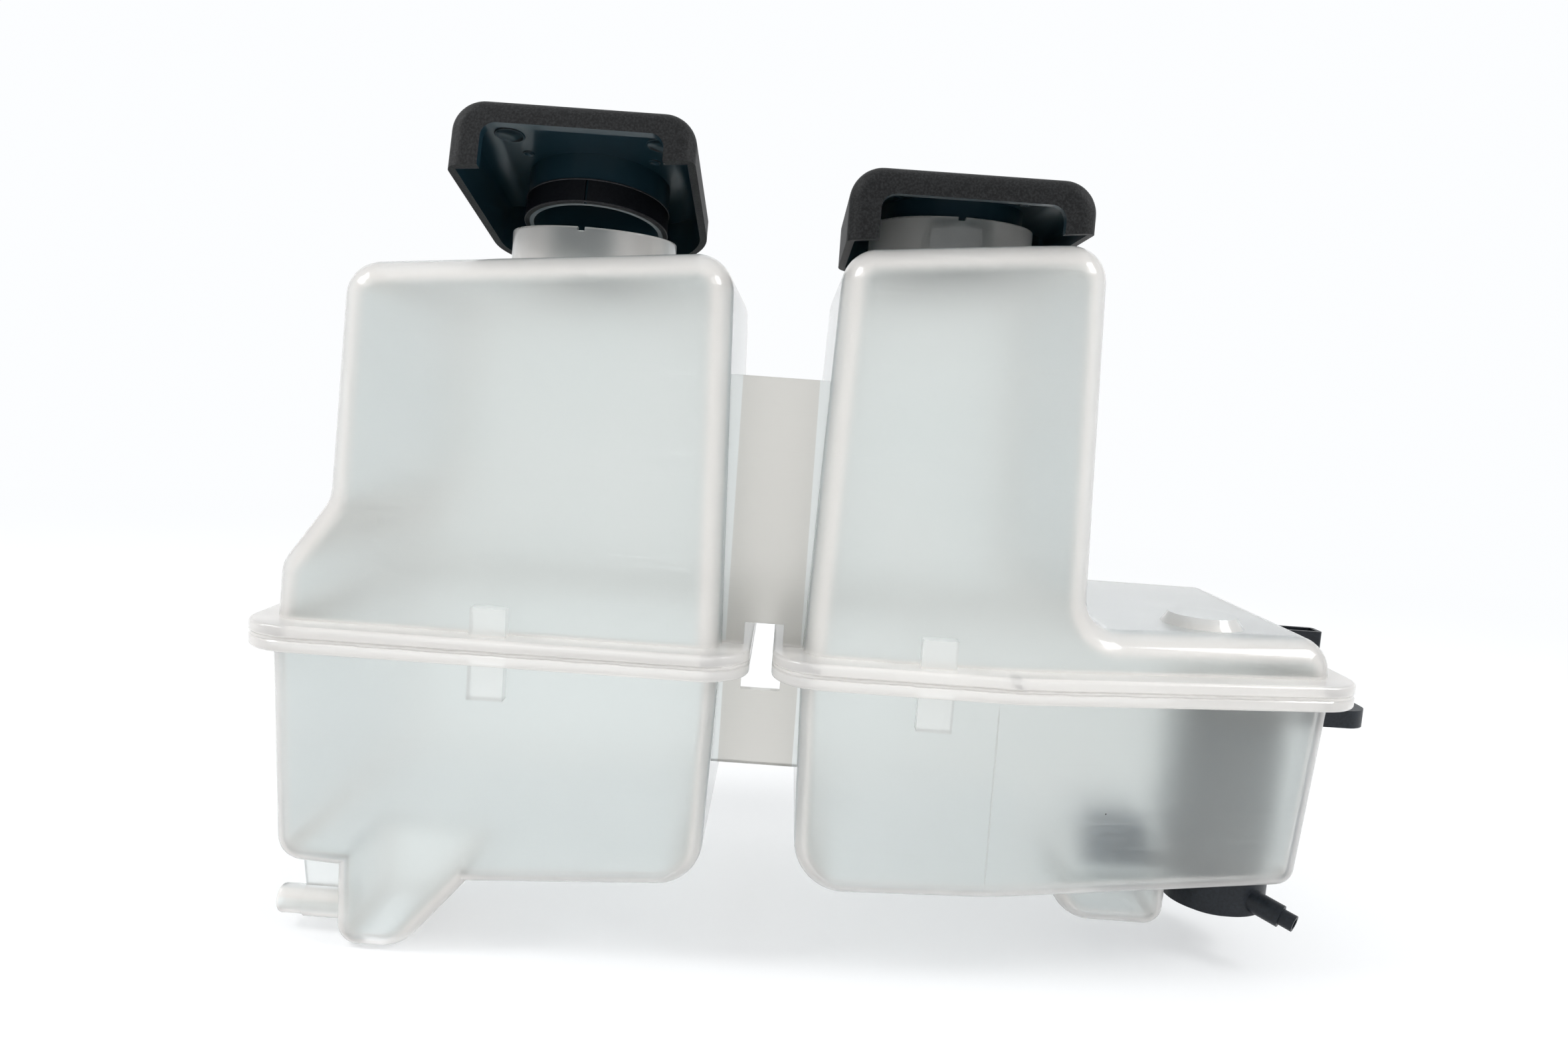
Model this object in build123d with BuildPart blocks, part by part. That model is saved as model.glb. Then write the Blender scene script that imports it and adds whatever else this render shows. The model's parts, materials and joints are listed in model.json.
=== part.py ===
from build123d import *
import os
from math import radians, tan

# A twin-chamber expansion tank: coolant on the left, washer fluid on the right.
# X runs along the tank, Y from the front wall to the back, Z up along the mould draw.
# The origin is the centre of the bracket slot, on the weld plane of the two mouldings.

# Mouldings
WALL = 2.6
DRAFT = 1.8
FRONT_Y = -13.0
DEPTH = 130.0
OVERRUN = 10.0
CUT_OVER = 2.0
UPPER_EDGE = 10.0
LOWER_EDGE = 6.0
BEND = 11.0

# Roof plane that both chambers share
ROOF_Z = 122.6
ROOF_SLOPE = 5.4

# Coolant chamber
COOLANT_RIGHT = -12.5
COOLANT_LENGTH = 134.5
SHOULDER_STEP = 13.2
SHOULDER_LOW = 20.0
SHOULDER_HIGH = 40.0
COOLANT_FLOOR_LEFT = -72.0
COOLANT_FLOOR_RIGHT = -71.2
COOLANT_FLOOR_LOW = -75.5
COOLANT_FLOOR_LOW_INSET = 61.0
FLOOR_BEND_LEFT = 8.0
FLOOR_BEND_RIGHT = 14.0
FLOOR_CREASE = 14.0

# Coolant sump and its hose nipple
SUMP_INSET = 20.8
SUMP_BOTTOM = -98.8
SUMP_FLAT = 20.2
SUMP_RAMP = 50.0
SUMP_BACK_Y = 35.0
SUMP_TOP = -40.0
SUMP_BEND = 7.0
SUMP_RAMP_BEND = 14.0
NIPPLE_Y = 4.0
NIPPLE_Z = -90.0
NIPPLE_OD = 9.2
NIPPLE_BORE = 6.0
NIPPLE_LENGTH = 21.8
NIPPLE_ROOT = 13.4
NIPPLE_ROOT_OD = 10.4
NIPPLE_LEAD = 1.4
GUSSET_THICKNESS = 2.0
GUSSET_TOP_INSET = 5.7
GUSSET_FOOT_REACH = 12.8

# Washer chamber
WASHER_LEFT = 12.0
WASHER_LENGTH = 168.0
WASHER_TOWER_RIGHT = 98.0
SHELF_Z = 16.1
SHELF_COVE = 10.0
WASHER_FLOOR_LEFT = -71.0
WASHER_FLOOR_SLOPE = 2.0
WASHER_END_LEAN = 3.9
FLOOR_BEND_FRONT_LEFT = 16.0
FLOOR_BEND_END = 6.5
TURN_X = 76.0
TURN_BACK = 10.6
TURN_ROUND = 60.0
PAD_INSET = 38.0
PAD_Y = 23.0
PAD_RADIUS = 14.0
PAD_HEIGHT = 3.4
PAD_TAPER = 35.0

# Washer sump, where the pump draws
WELL_LENGTH = 38.0
WELL_TO_PUMP = 23.7
WELL_BOTTOM = -85.0
WELL_FRONT_Y = 12.0
WELL_BACK_Y = 54.0
WELL_BEND_LEFT = 14.0
WELL_BEND_RIGHT = 6.5

# Weld flange, lugs on it and the web between the chambers
FLANGE_THICKNESS = 4.0
FLANGE_REACH = 8.9
FLANGE_END_REACH = 7.0
FLANGE_CORNER = 16.0
FLANGE_ROUND = 1.2
WELD_GROOVE = 0.9
LUG_WIDTH = 10.5
LUG_REACH = 4.5
LUG_UP = 12.5
LUG_DOWN = 15.0
COOLANT_LUG_X = -80.5
WASHER_LUG_X = 52.0
WEB_THICKNESS = 3.0
WEB_TOP = 85.5
WEB_BOTTOM = -33.5
SLOT_WIDTH = 12.0
SLOT_UP = 10.8
SLOT_DOWN = 10.0

# Filler necks
COOLANT_NECK_X = -67.0
WASHER_NECK_X = 53.0
NECK_FORWARD = 1.0
NECK_OD = 55.0
NECK_BORE = 49.6
NECK_HEIGHT = 12.6
NECK_ROOT = 4.0
NECK_EDGE = 0.8
NOTCH_WIDTH = 2.4
NOTCH_DEPTH = 1.3

# Lid hinge at the back of each neck
HINGE_INSET = 5.0
HINGE_BELOW_RIM = 6.3
PIN_DIAMETER = 4.0
PIN_CHAMFER = 0.4
PIN_FIT_EAR = 0.02
PIN_FIT_LID = 0.06
EAR_RADIUS = 5.0
EAR_THICKNESS = 5.0
EAR_FOOT = 15.0
ARM_WIDTH = 42.0
ARM_GAP = 0.5

# Hooded lids, both from one mould
LID_WIDTH = 73.5
LID_FRONT_REACH = 52.0
LID_BACK_REACH = 37.0
LID_BACK_ROUND = 28.0
LID_ABOVE_RIM = 7.4
LID_WALL = 2.4
LID_FRONT_WALL = 3.2
LID_CROWN = 10.0
LID_EDGE = 4.5
LID_CLEAR_ROOF = 1.2
ARCH_BAR = 8.0
ARCH_LEG = 9.5
ARCH_ROUND = 4.5
SKIRT_OD = 47.2
SKIRT_WALL = 2.6
SKIRT_BELOW_RIM = 11.7
SEAL_OD = 47.8
SEAL_THICKNESS = 1.5
SEAL_HEIGHT = 8.0
SEAL_SLIT = 0.9
SEAL_FIT = 0.02
KNUCKLE_RADIUS = 5.0
ARM_WALL = 2.6
COOLANT_LID_OPEN = 13.5
WASHER_LID_OPEN = 0.9

# Washer pump in the alcove of the right end wall
PUMP_INSET = 18.3
PUMP_Y = 38.0
ALCOVE_RADIUS = 20.5
ALCOVE_TOP = -7.0
HOUSING_RADIUS = 18.0
HOUSING_WALL = 1.6
HOUSING_FLOOR = 8.0
CAP_CLEAR = 2.0
CAP_HEIGHT = 8.0
CAP_ROUND = 2.0
CAP_SPIGOT = 3.0
SLIP = 0.1
CONNECTOR_ASIDE = 35.3
CONNECTOR_BEHIND = 37.0
CONNECTOR_WIDTH = 16.0
CONNECTOR_LENGTH = 9.0
CONNECTOR_TOP = 8.0
CONNECTOR_WALL = 1.5
CONNECTOR_DEPTH = 12.0
TERMINAL_THICKNESS = 0.8
TERMINAL_WIDTH = 4.0
TERMINAL_PITCH = 6.5
TERMINAL_HEIGHT = 9.0
TERMINAL_ROOT = 5.0
HEAD_RADIUS = 17.0
INLET_Z = -72.6
INLET_OD = 7.0
INLET_BORE = 4.6
INLET_IN_WELL = 12.0
INLET_ROOM_RADIUS = 6.0
INLET_ROOM_ABOVE = 11.0
INLET_ROOM_BELOW = 3.0
VOLUTE_RADIUS = 11.6
VOLUTE_DEPTH = 6.0
COVER_THICKNESS = 2.0
COVER_LAP = 1.8
COVER_ROUND = 1.2
OUTLET_RIGHT = 3.2
OUTLET_FORWARD = 9.7
OUTLET_DROP = 2.6
OUTLET_AIM = (0.739, -0.635, -0.224)
OUTLET_STEM_OD = 7.6
OUTLET_STEM = 16.4
OUTLET_TIP_OD = 5.6
OUTLET_TIP = 4.5
OUTLET_BORE = 3.6

# Grommet and strainer on the pump inlet
GROMMET_HOLE = 10.0
GROMMET_FLANGE = 11.6
GROMMET_LIP = 2.0
GROMMET_TAPER = 20.0
GROMMET_FIT = 0.03
STRAINER_LENGTH = 17.0
STRAINER_WIDTH = 19.0
STRAINER_HEIGHT = 22.8
STRAINER_LIFT = 6.0
STRAINER_WALL = 1.6
STRAINER_ROUND = 2.5
STRAINER_SLOTS = 5
STRAINER_SLOT = 1.6

# Motor inside the pump housing
SHAFT_DIAMETER = 3.0
SHAFT_FIT = 0.03
SEAT_FIT = 0.03
SHAFT_ABOVE_BUSH = 1.4
BUSH_OD = 7.0
BUSH_LENGTH = 3.4
SEAL_RING_OD = 9.0
SEAL_RING_LENGTH = 2.4
CAN_WALL = 1.5
MAGNET_THICKNESS = 2.8
MAGNET_ARC = 130.0
HALF_TURN = 180.0
MAGNET_LENGTH = 27.0
MAGNET_LIFT = 2.0
AIR_GAP = 0.5
CORE_LENGTH = 22.0
CORE_LIFT = 4.0
CORE_SLOTS = 5
CORE_SLOT_WIDTH = 2.2
CORE_SLOT_DEPTH = 5.0
COMMUTATOR_OD = 8.4
COMMUTATOR_LENGTH = 6.0
BRUSH_GAP = 0.3
BRUSH_LENGTH = 4.4
BRUSH_WIDTH = 3.0
BRUSH_HEIGHT = 4.0
IMPELLER_RADIUS = 10.8
IMPELLER_CLEAR = 0.8
IMPELLER_DISC = 1.2
IMPELLER_BLADE = 3.0
IMPELLER_BLADES = 6
IMPELLER_BLADE_WIDTH = 1.0
IMPELLER_HUB = 6.0
IMPELLER_TIP = 0.4

# Values worked out from the driving dimensions
COOLANT_LEFT = COOLANT_RIGHT - COOLANT_LENGTH
COOLANT_TOWER_LEFT = COOLANT_LEFT + SHOULDER_STEP
COOLANT_FLOOR_LOW_X = COOLANT_LEFT + COOLANT_FLOOR_LOW_INSET
SUMP_LEFT = COOLANT_LEFT + SUMP_INSET
SUMP_FLAT_RIGHT = SUMP_LEFT + SUMP_FLAT
GUSSET_TOP_X = COOLANT_LEFT + GUSSET_TOP_INSET
GUSSET_FOOT_X = SUMP_LEFT - GUSSET_FOOT_REACH
WASHER_RIGHT = WASHER_LEFT + WASHER_LENGTH
PAD_X = WASHER_RIGHT - PAD_INSET
PUMP_X = WASHER_RIGHT - PUMP_INSET
WELL_RIGHT = PUMP_X - WELL_TO_PUMP
WELL_LEFT = WELL_RIGHT - WELL_LENGTH
INLET_TIP_X = WELL_RIGHT - INLET_IN_WELL
CONNECTOR_X = PUMP_X + CONNECTOR_ASIDE
CONNECTOR_Y = PUMP_Y + CONNECTOR_BEHIND
BACK_Y = FRONT_Y + DEPTH
MID_Y = FRONT_Y + DEPTH / 2
HINGE_Y = BACK_Y - HINGE_INSET
NECK_Y = MID_Y - NECK_FORWARD
NECK_RADIUS = NECK_OD / 2
SEAL_RADIUS = SEAL_OD / 2
BAND_RADIUS = SEAL_RADIUS - SEAL_THICKNESS
ARM_HALF = ARM_WIDTH / 2
EAR_INNER = ARM_HALF + ARM_GAP
PIN_LENGTH = 2 * (EAR_INNER + EAR_THICKNESS)
PIN_RADIUS = PIN_DIAMETER / 2
HOUSING_BORE = HOUSING_RADIUS - HOUSING_WALL
CAN_RADIUS = HOUSING_BORE - SLIP
MAGNET_RADIUS = CAN_RADIUS - CAN_WALL - SLIP
CORE_RADIUS = MAGNET_RADIUS - MAGNET_THICKNESS - AIR_GAP
SHAFT_RADIUS = SHAFT_DIAMETER / 2
FAR = 400.0
FACING = 0.9
CAP_TOP = ALCOVE_TOP - CAP_CLEAR
HOUSING_TOP = CAP_TOP - CAP_HEIGHT
HOUSING_BOTTOM = INLET_Z + INLET_ROOM_ABOVE
HOUSING_INSIDE = HOUSING_BOTTOM + HOUSING_FLOOR
VOLUTE_TOP = INLET_Z - INLET_ROOM_BELOW
HEAD_BOTTOM = VOLUTE_TOP - VOLUTE_DEPTH
CONNECTOR_FLOOR = CONNECTOR_TOP - CONNECTOR_DEPTH
CORE_BOTTOM = HOUSING_INSIDE + CORE_LIFT
CORE_TOP = CORE_BOTTOM + CORE_LENGTH
BRUSH_X = COMMUTATOR_OD / 2 + BRUSH_GAP + BRUSH_LENGTH / 2
BRUSH_TOP = CORE_TOP + COMMUTATOR_LENGTH - BRUSH_GAP
IMPELLER_BOTTOM = HEAD_BOTTOM + IMPELLER_CLEAR
BLADE_REACH = IMPELLER_RADIUS - IMPELLER_TIP
SHAFT_TOP = HOUSING_TOP + BUSH_LENGTH + SHAFT_ABOVE_BUSH
SHAFT_BOTTOM = IMPELLER_BOTTOM + IMPELLER_DISC
OUTLET_PLANE = Plane(
    (PUMP_X + OUTLET_RIGHT, PUMP_Y - OUTLET_FORWARD, INLET_Z - OUTLET_DROP),
    z_dir=OUTLET_AIM,
)


def roof(x):
    """Height of the sloped roof plane at x."""
    return ROOF_Z + x * tan(radians(ROOF_SLOPE))


def drafted(x_weld, inward, height, angle=DRAFT):
    """X of a wall that leans inward by the draft angle, at a distance from the weld plane."""
    return x_weld + inward * height * tan(radians(angle))


def roof_corner(x_weld, inward):
    """Point where a drafted end wall meets the roof plane."""
    lean = inward * tan(radians(DRAFT))
    x = (x_weld + lean * ROOF_Z) / (1 - lean * tan(radians(ROOF_SLOPE)))
    return (x, roof(x))


def washer_floor(x):
    """Height of the washer chamber's floor at x."""
    return WASHER_FLOOR_LEFT + (x - WASHER_LEFT) * tan(radians(WASHER_FLOOR_SLOPE))


def on_turn(edge):
    """Whether an upright edge lies in the turn of the washer chamber's front wall."""
    return abs((edge % 0.5).Z) > FACING and abs(edge.center().X - TURN_X) < TURN_ROUND / 4


def half_chamber(corners, radii, edge, inset=0.0, up=1, front=FRONT_Y, back=BACK_Y, turn=0.0):
    """One moulded half: its front profile run back through drafted front and back walls.

    The profile starts and ends past the weld plane. The rim of the front and back walls is
    rounded by edge. An inset of one wall gives the hollow inside the same half. A turn sends
    the front wall back by that angle past TURN_X.
    """
    end_z = corners[0][1]
    lean = tan(radians(DRAFT))
    front_in = front + inset
    back_in = back - inset
    over = OVERRUN * lean
    tall = FAR * lean / 2
    with BuildPart() as half:
        with BuildSketch(Plane.XZ.offset(OVERRUN - front)):
            with BuildLine():
                FilletPolyline(*corners, radius=radii)
                Line(corners[-1], corners[0])
            make_face()
            if inset:
                offset(amount=-inset)
        extrude(amount=front - back - 2 * OVERRUN)
        with BuildSketch(Plane.YZ):
            with BuildLine():
                Polyline(
                    (front_in - over, -up * OVERRUN),
                    (back_in + over, -up * OVERRUN),
                    (back_in - tall, up * FAR / 2),
                    (front_in + tall, up * FAR / 2),
                    close=True,
                )
            make_face()
        extrude(amount=FAR, both=True, mode=Mode.INTERSECT)
        if turn:
            aside = Vector(1, 0, 0).rotate(Axis.Z, turn)
            with BuildSketch(Plane((TURN_X, front, 0), x_dir=aside.rotate(Axis.Z, 90), z_dir=aside)):
                with BuildLine():
                    Polyline(
                        (inset - over, -up * OVERRUN),
                        (FAR, -up * OVERRUN),
                        (FAR, up * FAR / 2),
                        (inset + tall, up * FAR / 2),
                        close=True,
                    )
                make_face()
            extrude(amount=FAR, both=True, mode=Mode.INTERSECT)
            fillet(half.edges().filter_by(on_turn), radius=TURN_ROUND - inset)
        walls = half.faces().filter_by(lambda wall: abs(wall.normal_at().Y) > FACING)
        end_now = end_z + up * inset
        rims = walls.edges().filter_by(lambda rim: abs(rim.center().Z - end_now) > WALL / 2)
        fillet(rims.filter_by(lambda rim: not on_turn(rim)), radius=edge - inset)
        split(bisect_by=Plane.XY, keep=Keep.TOP if up > 0 else Keep.BOTTOM)
    return half.part


coolant_upper_corners = (
    (drafted(COOLANT_LEFT, 1, -OVERRUN), -OVERRUN),
    (drafted(COOLANT_LEFT, 1, SHOULDER_LOW), SHOULDER_LOW),
    (drafted(COOLANT_TOWER_LEFT, 1, SHOULDER_HIGH), SHOULDER_HIGH),
    roof_corner(COOLANT_TOWER_LEFT, 1),
    roof_corner(COOLANT_RIGHT, -1),
    (drafted(COOLANT_RIGHT, -1, -OVERRUN), -OVERRUN),
)
coolant_upper_bends = (BEND, BEND, BEND, BEND)

washer_upper_corners = (
    (drafted(WASHER_LEFT, 1, -OVERRUN), -OVERRUN),
    roof_corner(WASHER_LEFT, 1),
    roof_corner(WASHER_TOWER_RIGHT, -1),
    (drafted(WASHER_TOWER_RIGHT, -1, SHELF_Z), SHELF_Z),
    (drafted(WASHER_RIGHT, -1, SHELF_Z), SHELF_Z),
    (drafted(WASHER_RIGHT, -1, -OVERRUN), -OVERRUN),
)
washer_upper_bends = (BEND, BEND, SHELF_COVE, BEND)

coolant_lower_corners = (
    (drafted(COOLANT_LEFT, 1, -OVERRUN), OVERRUN),
    (drafted(COOLANT_LEFT, 1, -COOLANT_FLOOR_LEFT), COOLANT_FLOOR_LEFT),
    (COOLANT_FLOOR_LOW_X, COOLANT_FLOOR_LOW),
    (drafted(COOLANT_RIGHT, -1, -COOLANT_FLOOR_RIGHT), COOLANT_FLOOR_RIGHT),
    (drafted(COOLANT_RIGHT, -1, -OVERRUN), OVERRUN),
)
coolant_lower_bends = (FLOOR_BEND_LEFT, FLOOR_CREASE, FLOOR_BEND_RIGHT)

sump_ramp_x = SUMP_FLAT_RIGHT + (SUMP_TOP - SUMP_BOTTOM) / tan(radians(SUMP_RAMP))
coolant_sump_corners = (
    (SUMP_LEFT, SUMP_TOP),
    (SUMP_LEFT, SUMP_BOTTOM),
    (SUMP_FLAT_RIGHT, SUMP_BOTTOM),
    (sump_ramp_x, SUMP_TOP),
)
coolant_sump_bends = (SUMP_BEND, SUMP_RAMP_BEND)

washer_end_z = washer_floor(WASHER_RIGHT)
washer_lower_corners = (
    (drafted(WASHER_LEFT, 1, -OVERRUN), OVERRUN),
    (drafted(WASHER_LEFT, 1, -WASHER_FLOOR_LEFT), WASHER_FLOOR_LEFT),
    (drafted(WASHER_RIGHT, -1, -washer_end_z, WASHER_END_LEAN), washer_end_z),
    (drafted(WASHER_RIGHT, -1, -OVERRUN, WASHER_END_LEAN), OVERRUN),
)
washer_lower_bends = (FLOOR_BEND_FRONT_LEFT, FLOOR_BEND_END)

washer_well_corners = (
    (WELL_LEFT, SUMP_TOP),
    (WELL_LEFT, WELL_BOTTOM),
    (WELL_RIGHT, WELL_BOTTOM),
    (WELL_RIGHT, SUMP_TOP),
)
washer_well_bends = (WELL_BEND_LEFT, WELL_BEND_RIGHT)

coolant_upper = half_chamber(coolant_upper_corners, coolant_upper_bends, UPPER_EDGE)
coolant_upper_hollow = half_chamber(coolant_upper_corners, coolant_upper_bends, UPPER_EDGE, WALL)
washer_upper = half_chamber(washer_upper_corners, washer_upper_bends, UPPER_EDGE, turn=TURN_BACK)
washer_upper_hollow = half_chamber(
    washer_upper_corners, washer_upper_bends, UPPER_EDGE, WALL, turn=TURN_BACK
)
coolant_lower = half_chamber(coolant_lower_corners, coolant_lower_bends, LOWER_EDGE, up=-1)
coolant_lower_hollow = half_chamber(coolant_lower_corners, coolant_lower_bends, LOWER_EDGE, WALL, -1)
washer_lower = half_chamber(washer_lower_corners, washer_lower_bends, LOWER_EDGE, up=-1, turn=TURN_BACK)
washer_lower_hollow = half_chamber(
    washer_lower_corners, washer_lower_bends, LOWER_EDGE, WALL, -1, turn=TURN_BACK
)
sump = half_chamber(coolant_sump_corners, coolant_sump_bends, LOWER_EDGE, 0.0, -1, FRONT_Y, SUMP_BACK_Y)
sump_hollow = half_chamber(
    coolant_sump_corners, coolant_sump_bends, LOWER_EDGE, WALL, -1, FRONT_Y, SUMP_BACK_Y
)
well = half_chamber(washer_well_corners, washer_well_bends, LOWER_EDGE, 0.0, -1, WELL_FRONT_Y, WELL_BACK_Y)
well_hollow = half_chamber(
    washer_well_corners, washer_well_bends, LOWER_EDGE, WALL, -1, WELL_FRONT_Y, WELL_BACK_Y
)

neck_xs = (COOLANT_NECK_X, WASHER_NECK_X)
rims = [roof(x) + NECK_HEIGHT for x in neck_xs]
hinges = [rim - HINGE_BELOW_RIM for rim in rims]
flange_front = FRONT_Y - FLANGE_REACH
flange_back = BACK_Y + FLANGE_REACH
flange_turn_x = TURN_X + FLANGE_REACH * tan(radians(TURN_BACK / 2))
flange_end = WASHER_RIGHT + FLANGE_END_REACH
flange_end_front = flange_front + (flange_end - flange_turn_x) * tan(radians(TURN_BACK))
coolant_flange = (
    (COOLANT_LEFT - FLANGE_END_REACH, flange_front),
    (COOLANT_RIGHT + FLANGE_REACH, flange_front),
    (COOLANT_RIGHT + FLANGE_REACH, flange_back),
    (COOLANT_LEFT - FLANGE_END_REACH, flange_back),
)
washer_flange = (
    (WASHER_LEFT - FLANGE_REACH, flange_front),
    (flange_turn_x, flange_front),
    (flange_end, flange_end_front),
    (flange_end, flange_back),
    (WASHER_LEFT - FLANGE_REACH, flange_back),
)

# Half of the weld flange round both chambers, which each moulding carries
with BuildPart() as flange_half:
    with BuildSketch():
        for corners in (coolant_flange, washer_flange):
            with BuildLine():
                FilletPolyline(*corners, radius=FLANGE_CORNER, close=True)
            make_face()
    extrude(amount=FLANGE_THICKNESS)
    fillet(flange_half.edges().group_by(Axis.Z)[-1], radius=FLANGE_ROUND)
    chamfer(flange_half.edges().group_by(Axis.Z)[0], length=WELD_GROOVE)

# Hose nipple with its rounded nose and the thicker root that stops the hose
with BuildPart() as nipple:
    with BuildSketch(Plane.YZ.offset(SUMP_LEFT + WALL / 2)):
        with Locations((NIPPLE_Y, NIPPLE_Z)):
            Circle(NIPPLE_OD / 2)
    extrude(amount=-NIPPLE_LENGTH - WALL / 2)
    fillet(nipple.edges().sort_by(Axis.X)[0], radius=NIPPLE_LEAD)
    with BuildSketch(Plane.YZ.offset(SUMP_LEFT + WALL / 2)):
        with Locations((NIPPLE_Y, NIPPLE_Z)):
            Circle(NIPPLE_ROOT_OD / 2)
    extrude(amount=-NIPPLE_ROOT - WALL / 2)

# Filler neck, drawn down from its rim
with BuildPart() as neck:
    with BuildSketch():
        Circle(NECK_RADIUS)
    extrude(amount=-NECK_HEIGHT - NECK_ROOT)
    fillet(neck.edges().group_by(Axis.Z)[-1], radius=NECK_EDGE)

# Upper moulding: two chambers, flange, web, lugs, necks and hinge ears
with BuildPart() as upper_shell:
    add(coolant_upper)
    add(washer_upper)
    add(flange_half.part)
    with BuildSketch(Plane.XZ.offset(WEB_THICKNESS / 2)):
        with Locations(((COOLANT_RIGHT + WASHER_LEFT) / 2, WEB_TOP / 2)):
            Rectangle(WASHER_LEFT - COOLANT_RIGHT + 2 * WALL, WEB_TOP)
        Rectangle(SLOT_WIDTH, 2 * SLOT_UP, mode=Mode.SUBTRACT)
    extrude(amount=-WEB_THICKNESS)
    for x in (COOLANT_LUG_X, WASHER_LUG_X):
        with Locations((x, FRONT_Y - LUG_REACH, 0)):
            Box(LUG_WIDTH, LUG_REACH + WALL / 2, LUG_UP, align=(Align.CENTER, Align.MIN, Align.MIN))
    with BuildSketch(Plane.XY.offset(SHELF_Z - WALL / 2)):
        with Locations((PAD_X, PAD_Y)):
            Circle(PAD_RADIUS)
    extrude(amount=PAD_HEIGHT + WALL / 2, taper=PAD_TAPER)
    for x, rim in zip(neck_xs, rims):
        add(neck.part.moved(Location((x, NECK_Y, rim))))
    for x, hinge in zip(neck_xs, hinges):
        for side in (-1, 1):
            inner = x + side * EAR_INNER
            foot = roof(inner + side * EAR_THICKNESS / 2)
            with BuildSketch(Plane.YZ.offset(inner)):
                with Locations((HINGE_Y, hinge)):
                    Circle(EAR_RADIUS)
                with BuildLine():
                    Polyline(
                        (HINGE_Y - EAR_FOOT, foot - WALL / 2),
                        (HINGE_Y - EAR_FOOT / 2, foot - WALL / 2),
                        (HINGE_Y, foot - UPPER_EDGE / 2 - WALL / 2),
                        close=True,
                    )
                make_hull()
            extrude(amount=side * EAR_THICKNESS)
    add(coolant_upper_hollow, mode=Mode.SUBTRACT)
    add(washer_upper_hollow, mode=Mode.SUBTRACT)
    with BuildSketch(Plane.XY.offset(SHELF_Z - 3 * WALL / 2)):
        with Locations((PAD_X, PAD_Y)):
            Circle(PAD_RADIUS - WALL)
    extrude(amount=PAD_HEIGHT + WALL / 2, taper=PAD_TAPER, mode=Mode.SUBTRACT)
    for x, rim, hinge in zip(neck_xs, rims, hinges):
        with BuildSketch(Plane.XY.offset(rim)):
            with Locations((x, NECK_Y)):
                Circle(NECK_BORE / 2)
        extrude(amount=-NECK_HEIGHT - 2 * NECK_ROOT, mode=Mode.SUBTRACT)
        with Locations((x, NECK_Y - NECK_RADIUS, rim)):
            Box(NOTCH_WIDTH, NECK_OD - NECK_BORE + CUT_OVER, 2 * NOTCH_DEPTH, mode=Mode.SUBTRACT)
        with Locations(Location((x, HINGE_Y, hinge), (0, 90, 0))):
            Cylinder(PIN_RADIUS + PIN_FIT_EAR, PIN_LENGTH + CUT_OVER, mode=Mode.SUBTRACT)

# Lower moulding: two chambers with their sumps, the pump alcove, flange, web and nipple
with BuildPart() as lower_hollow:
    add(washer_lower_hollow)
    with BuildSketch(Plane.XY.offset(ALCOVE_TOP + WALL)):
        with Locations((PUMP_X, PUMP_Y)):
            Circle(ALCOVE_RADIUS + WALL)
    extrude(amount=-FAR, mode=Mode.SUBTRACT)
    add(well_hollow)

with BuildPart() as lower_shell:
    add(coolant_lower)
    add(washer_lower)
    add(sump)
    add(flange_half.part.mirror(Plane.XY))
    with BuildSketch(Plane.XZ.offset(WEB_THICKNESS / 2)):
        with Locations(((COOLANT_RIGHT + WASHER_LEFT) / 2, WEB_BOTTOM / 2)):
            Rectangle(WASHER_LEFT - COOLANT_RIGHT + 2 * WALL, -WEB_BOTTOM)
        Rectangle(SLOT_WIDTH, 2 * SLOT_DOWN, mode=Mode.SUBTRACT)
    extrude(amount=-WEB_THICKNESS)
    for x in (COOLANT_LUG_X, WASHER_LUG_X):
        with Locations((x, FRONT_Y - LUG_REACH, 0)):
            Box(LUG_WIDTH, LUG_REACH + WALL / 2, LUG_DOWN, align=(Align.CENTER, Align.MIN, Align.MAX))
    with BuildSketch(Plane.XZ.offset(GUSSET_THICKNESS / 2 - NIPPLE_Y)):
        with BuildLine():
            Polyline(
                (GUSSET_TOP_X, COOLANT_FLOOR_LEFT + WALL / 2),
                (SUMP_LEFT + WALL / 2, COOLANT_FLOOR_LEFT),
                (SUMP_LEFT + WALL / 2, NIPPLE_Z),
                (GUSSET_FOOT_X, NIPPLE_Z),
                close=True,
            )
        make_face()
    extrude(amount=-GUSSET_THICKNESS)
    add(nipple.part)
    with BuildSketch(Plane.XY.offset(ALCOVE_TOP)):
        with Locations((PUMP_X, PUMP_Y)):
            Circle(ALCOVE_RADIUS)
    extrude(amount=-FAR, mode=Mode.SUBTRACT)
    add(well)
    add(coolant_lower_hollow, mode=Mode.SUBTRACT)
    add(sump_hollow, mode=Mode.SUBTRACT)
    add(lower_hollow.part, mode=Mode.SUBTRACT)
    with Locations(Location((SUMP_LEFT - NIPPLE_LENGTH / 2, NIPPLE_Y, NIPPLE_Z), (0, 90, 0))):
        Cylinder(NIPPLE_BORE / 2, NIPPLE_LENGTH + 4 * WALL, mode=Mode.SUBTRACT)
    with Locations(Location((WELL_RIGHT, PUMP_Y, INLET_Z), (0, 90, 0))):
        Cylinder(GROMMET_HOLE / 2, 4 * WALL, mode=Mode.SUBTRACT)


def placed(part, x, z, angle=0.0):
    """A copy of a part drawn about the hinge axis, put at its hinge and swung open."""
    return part.moved(Location((x, HINGE_Y, z), (-angle, 0, 0)))


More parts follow.
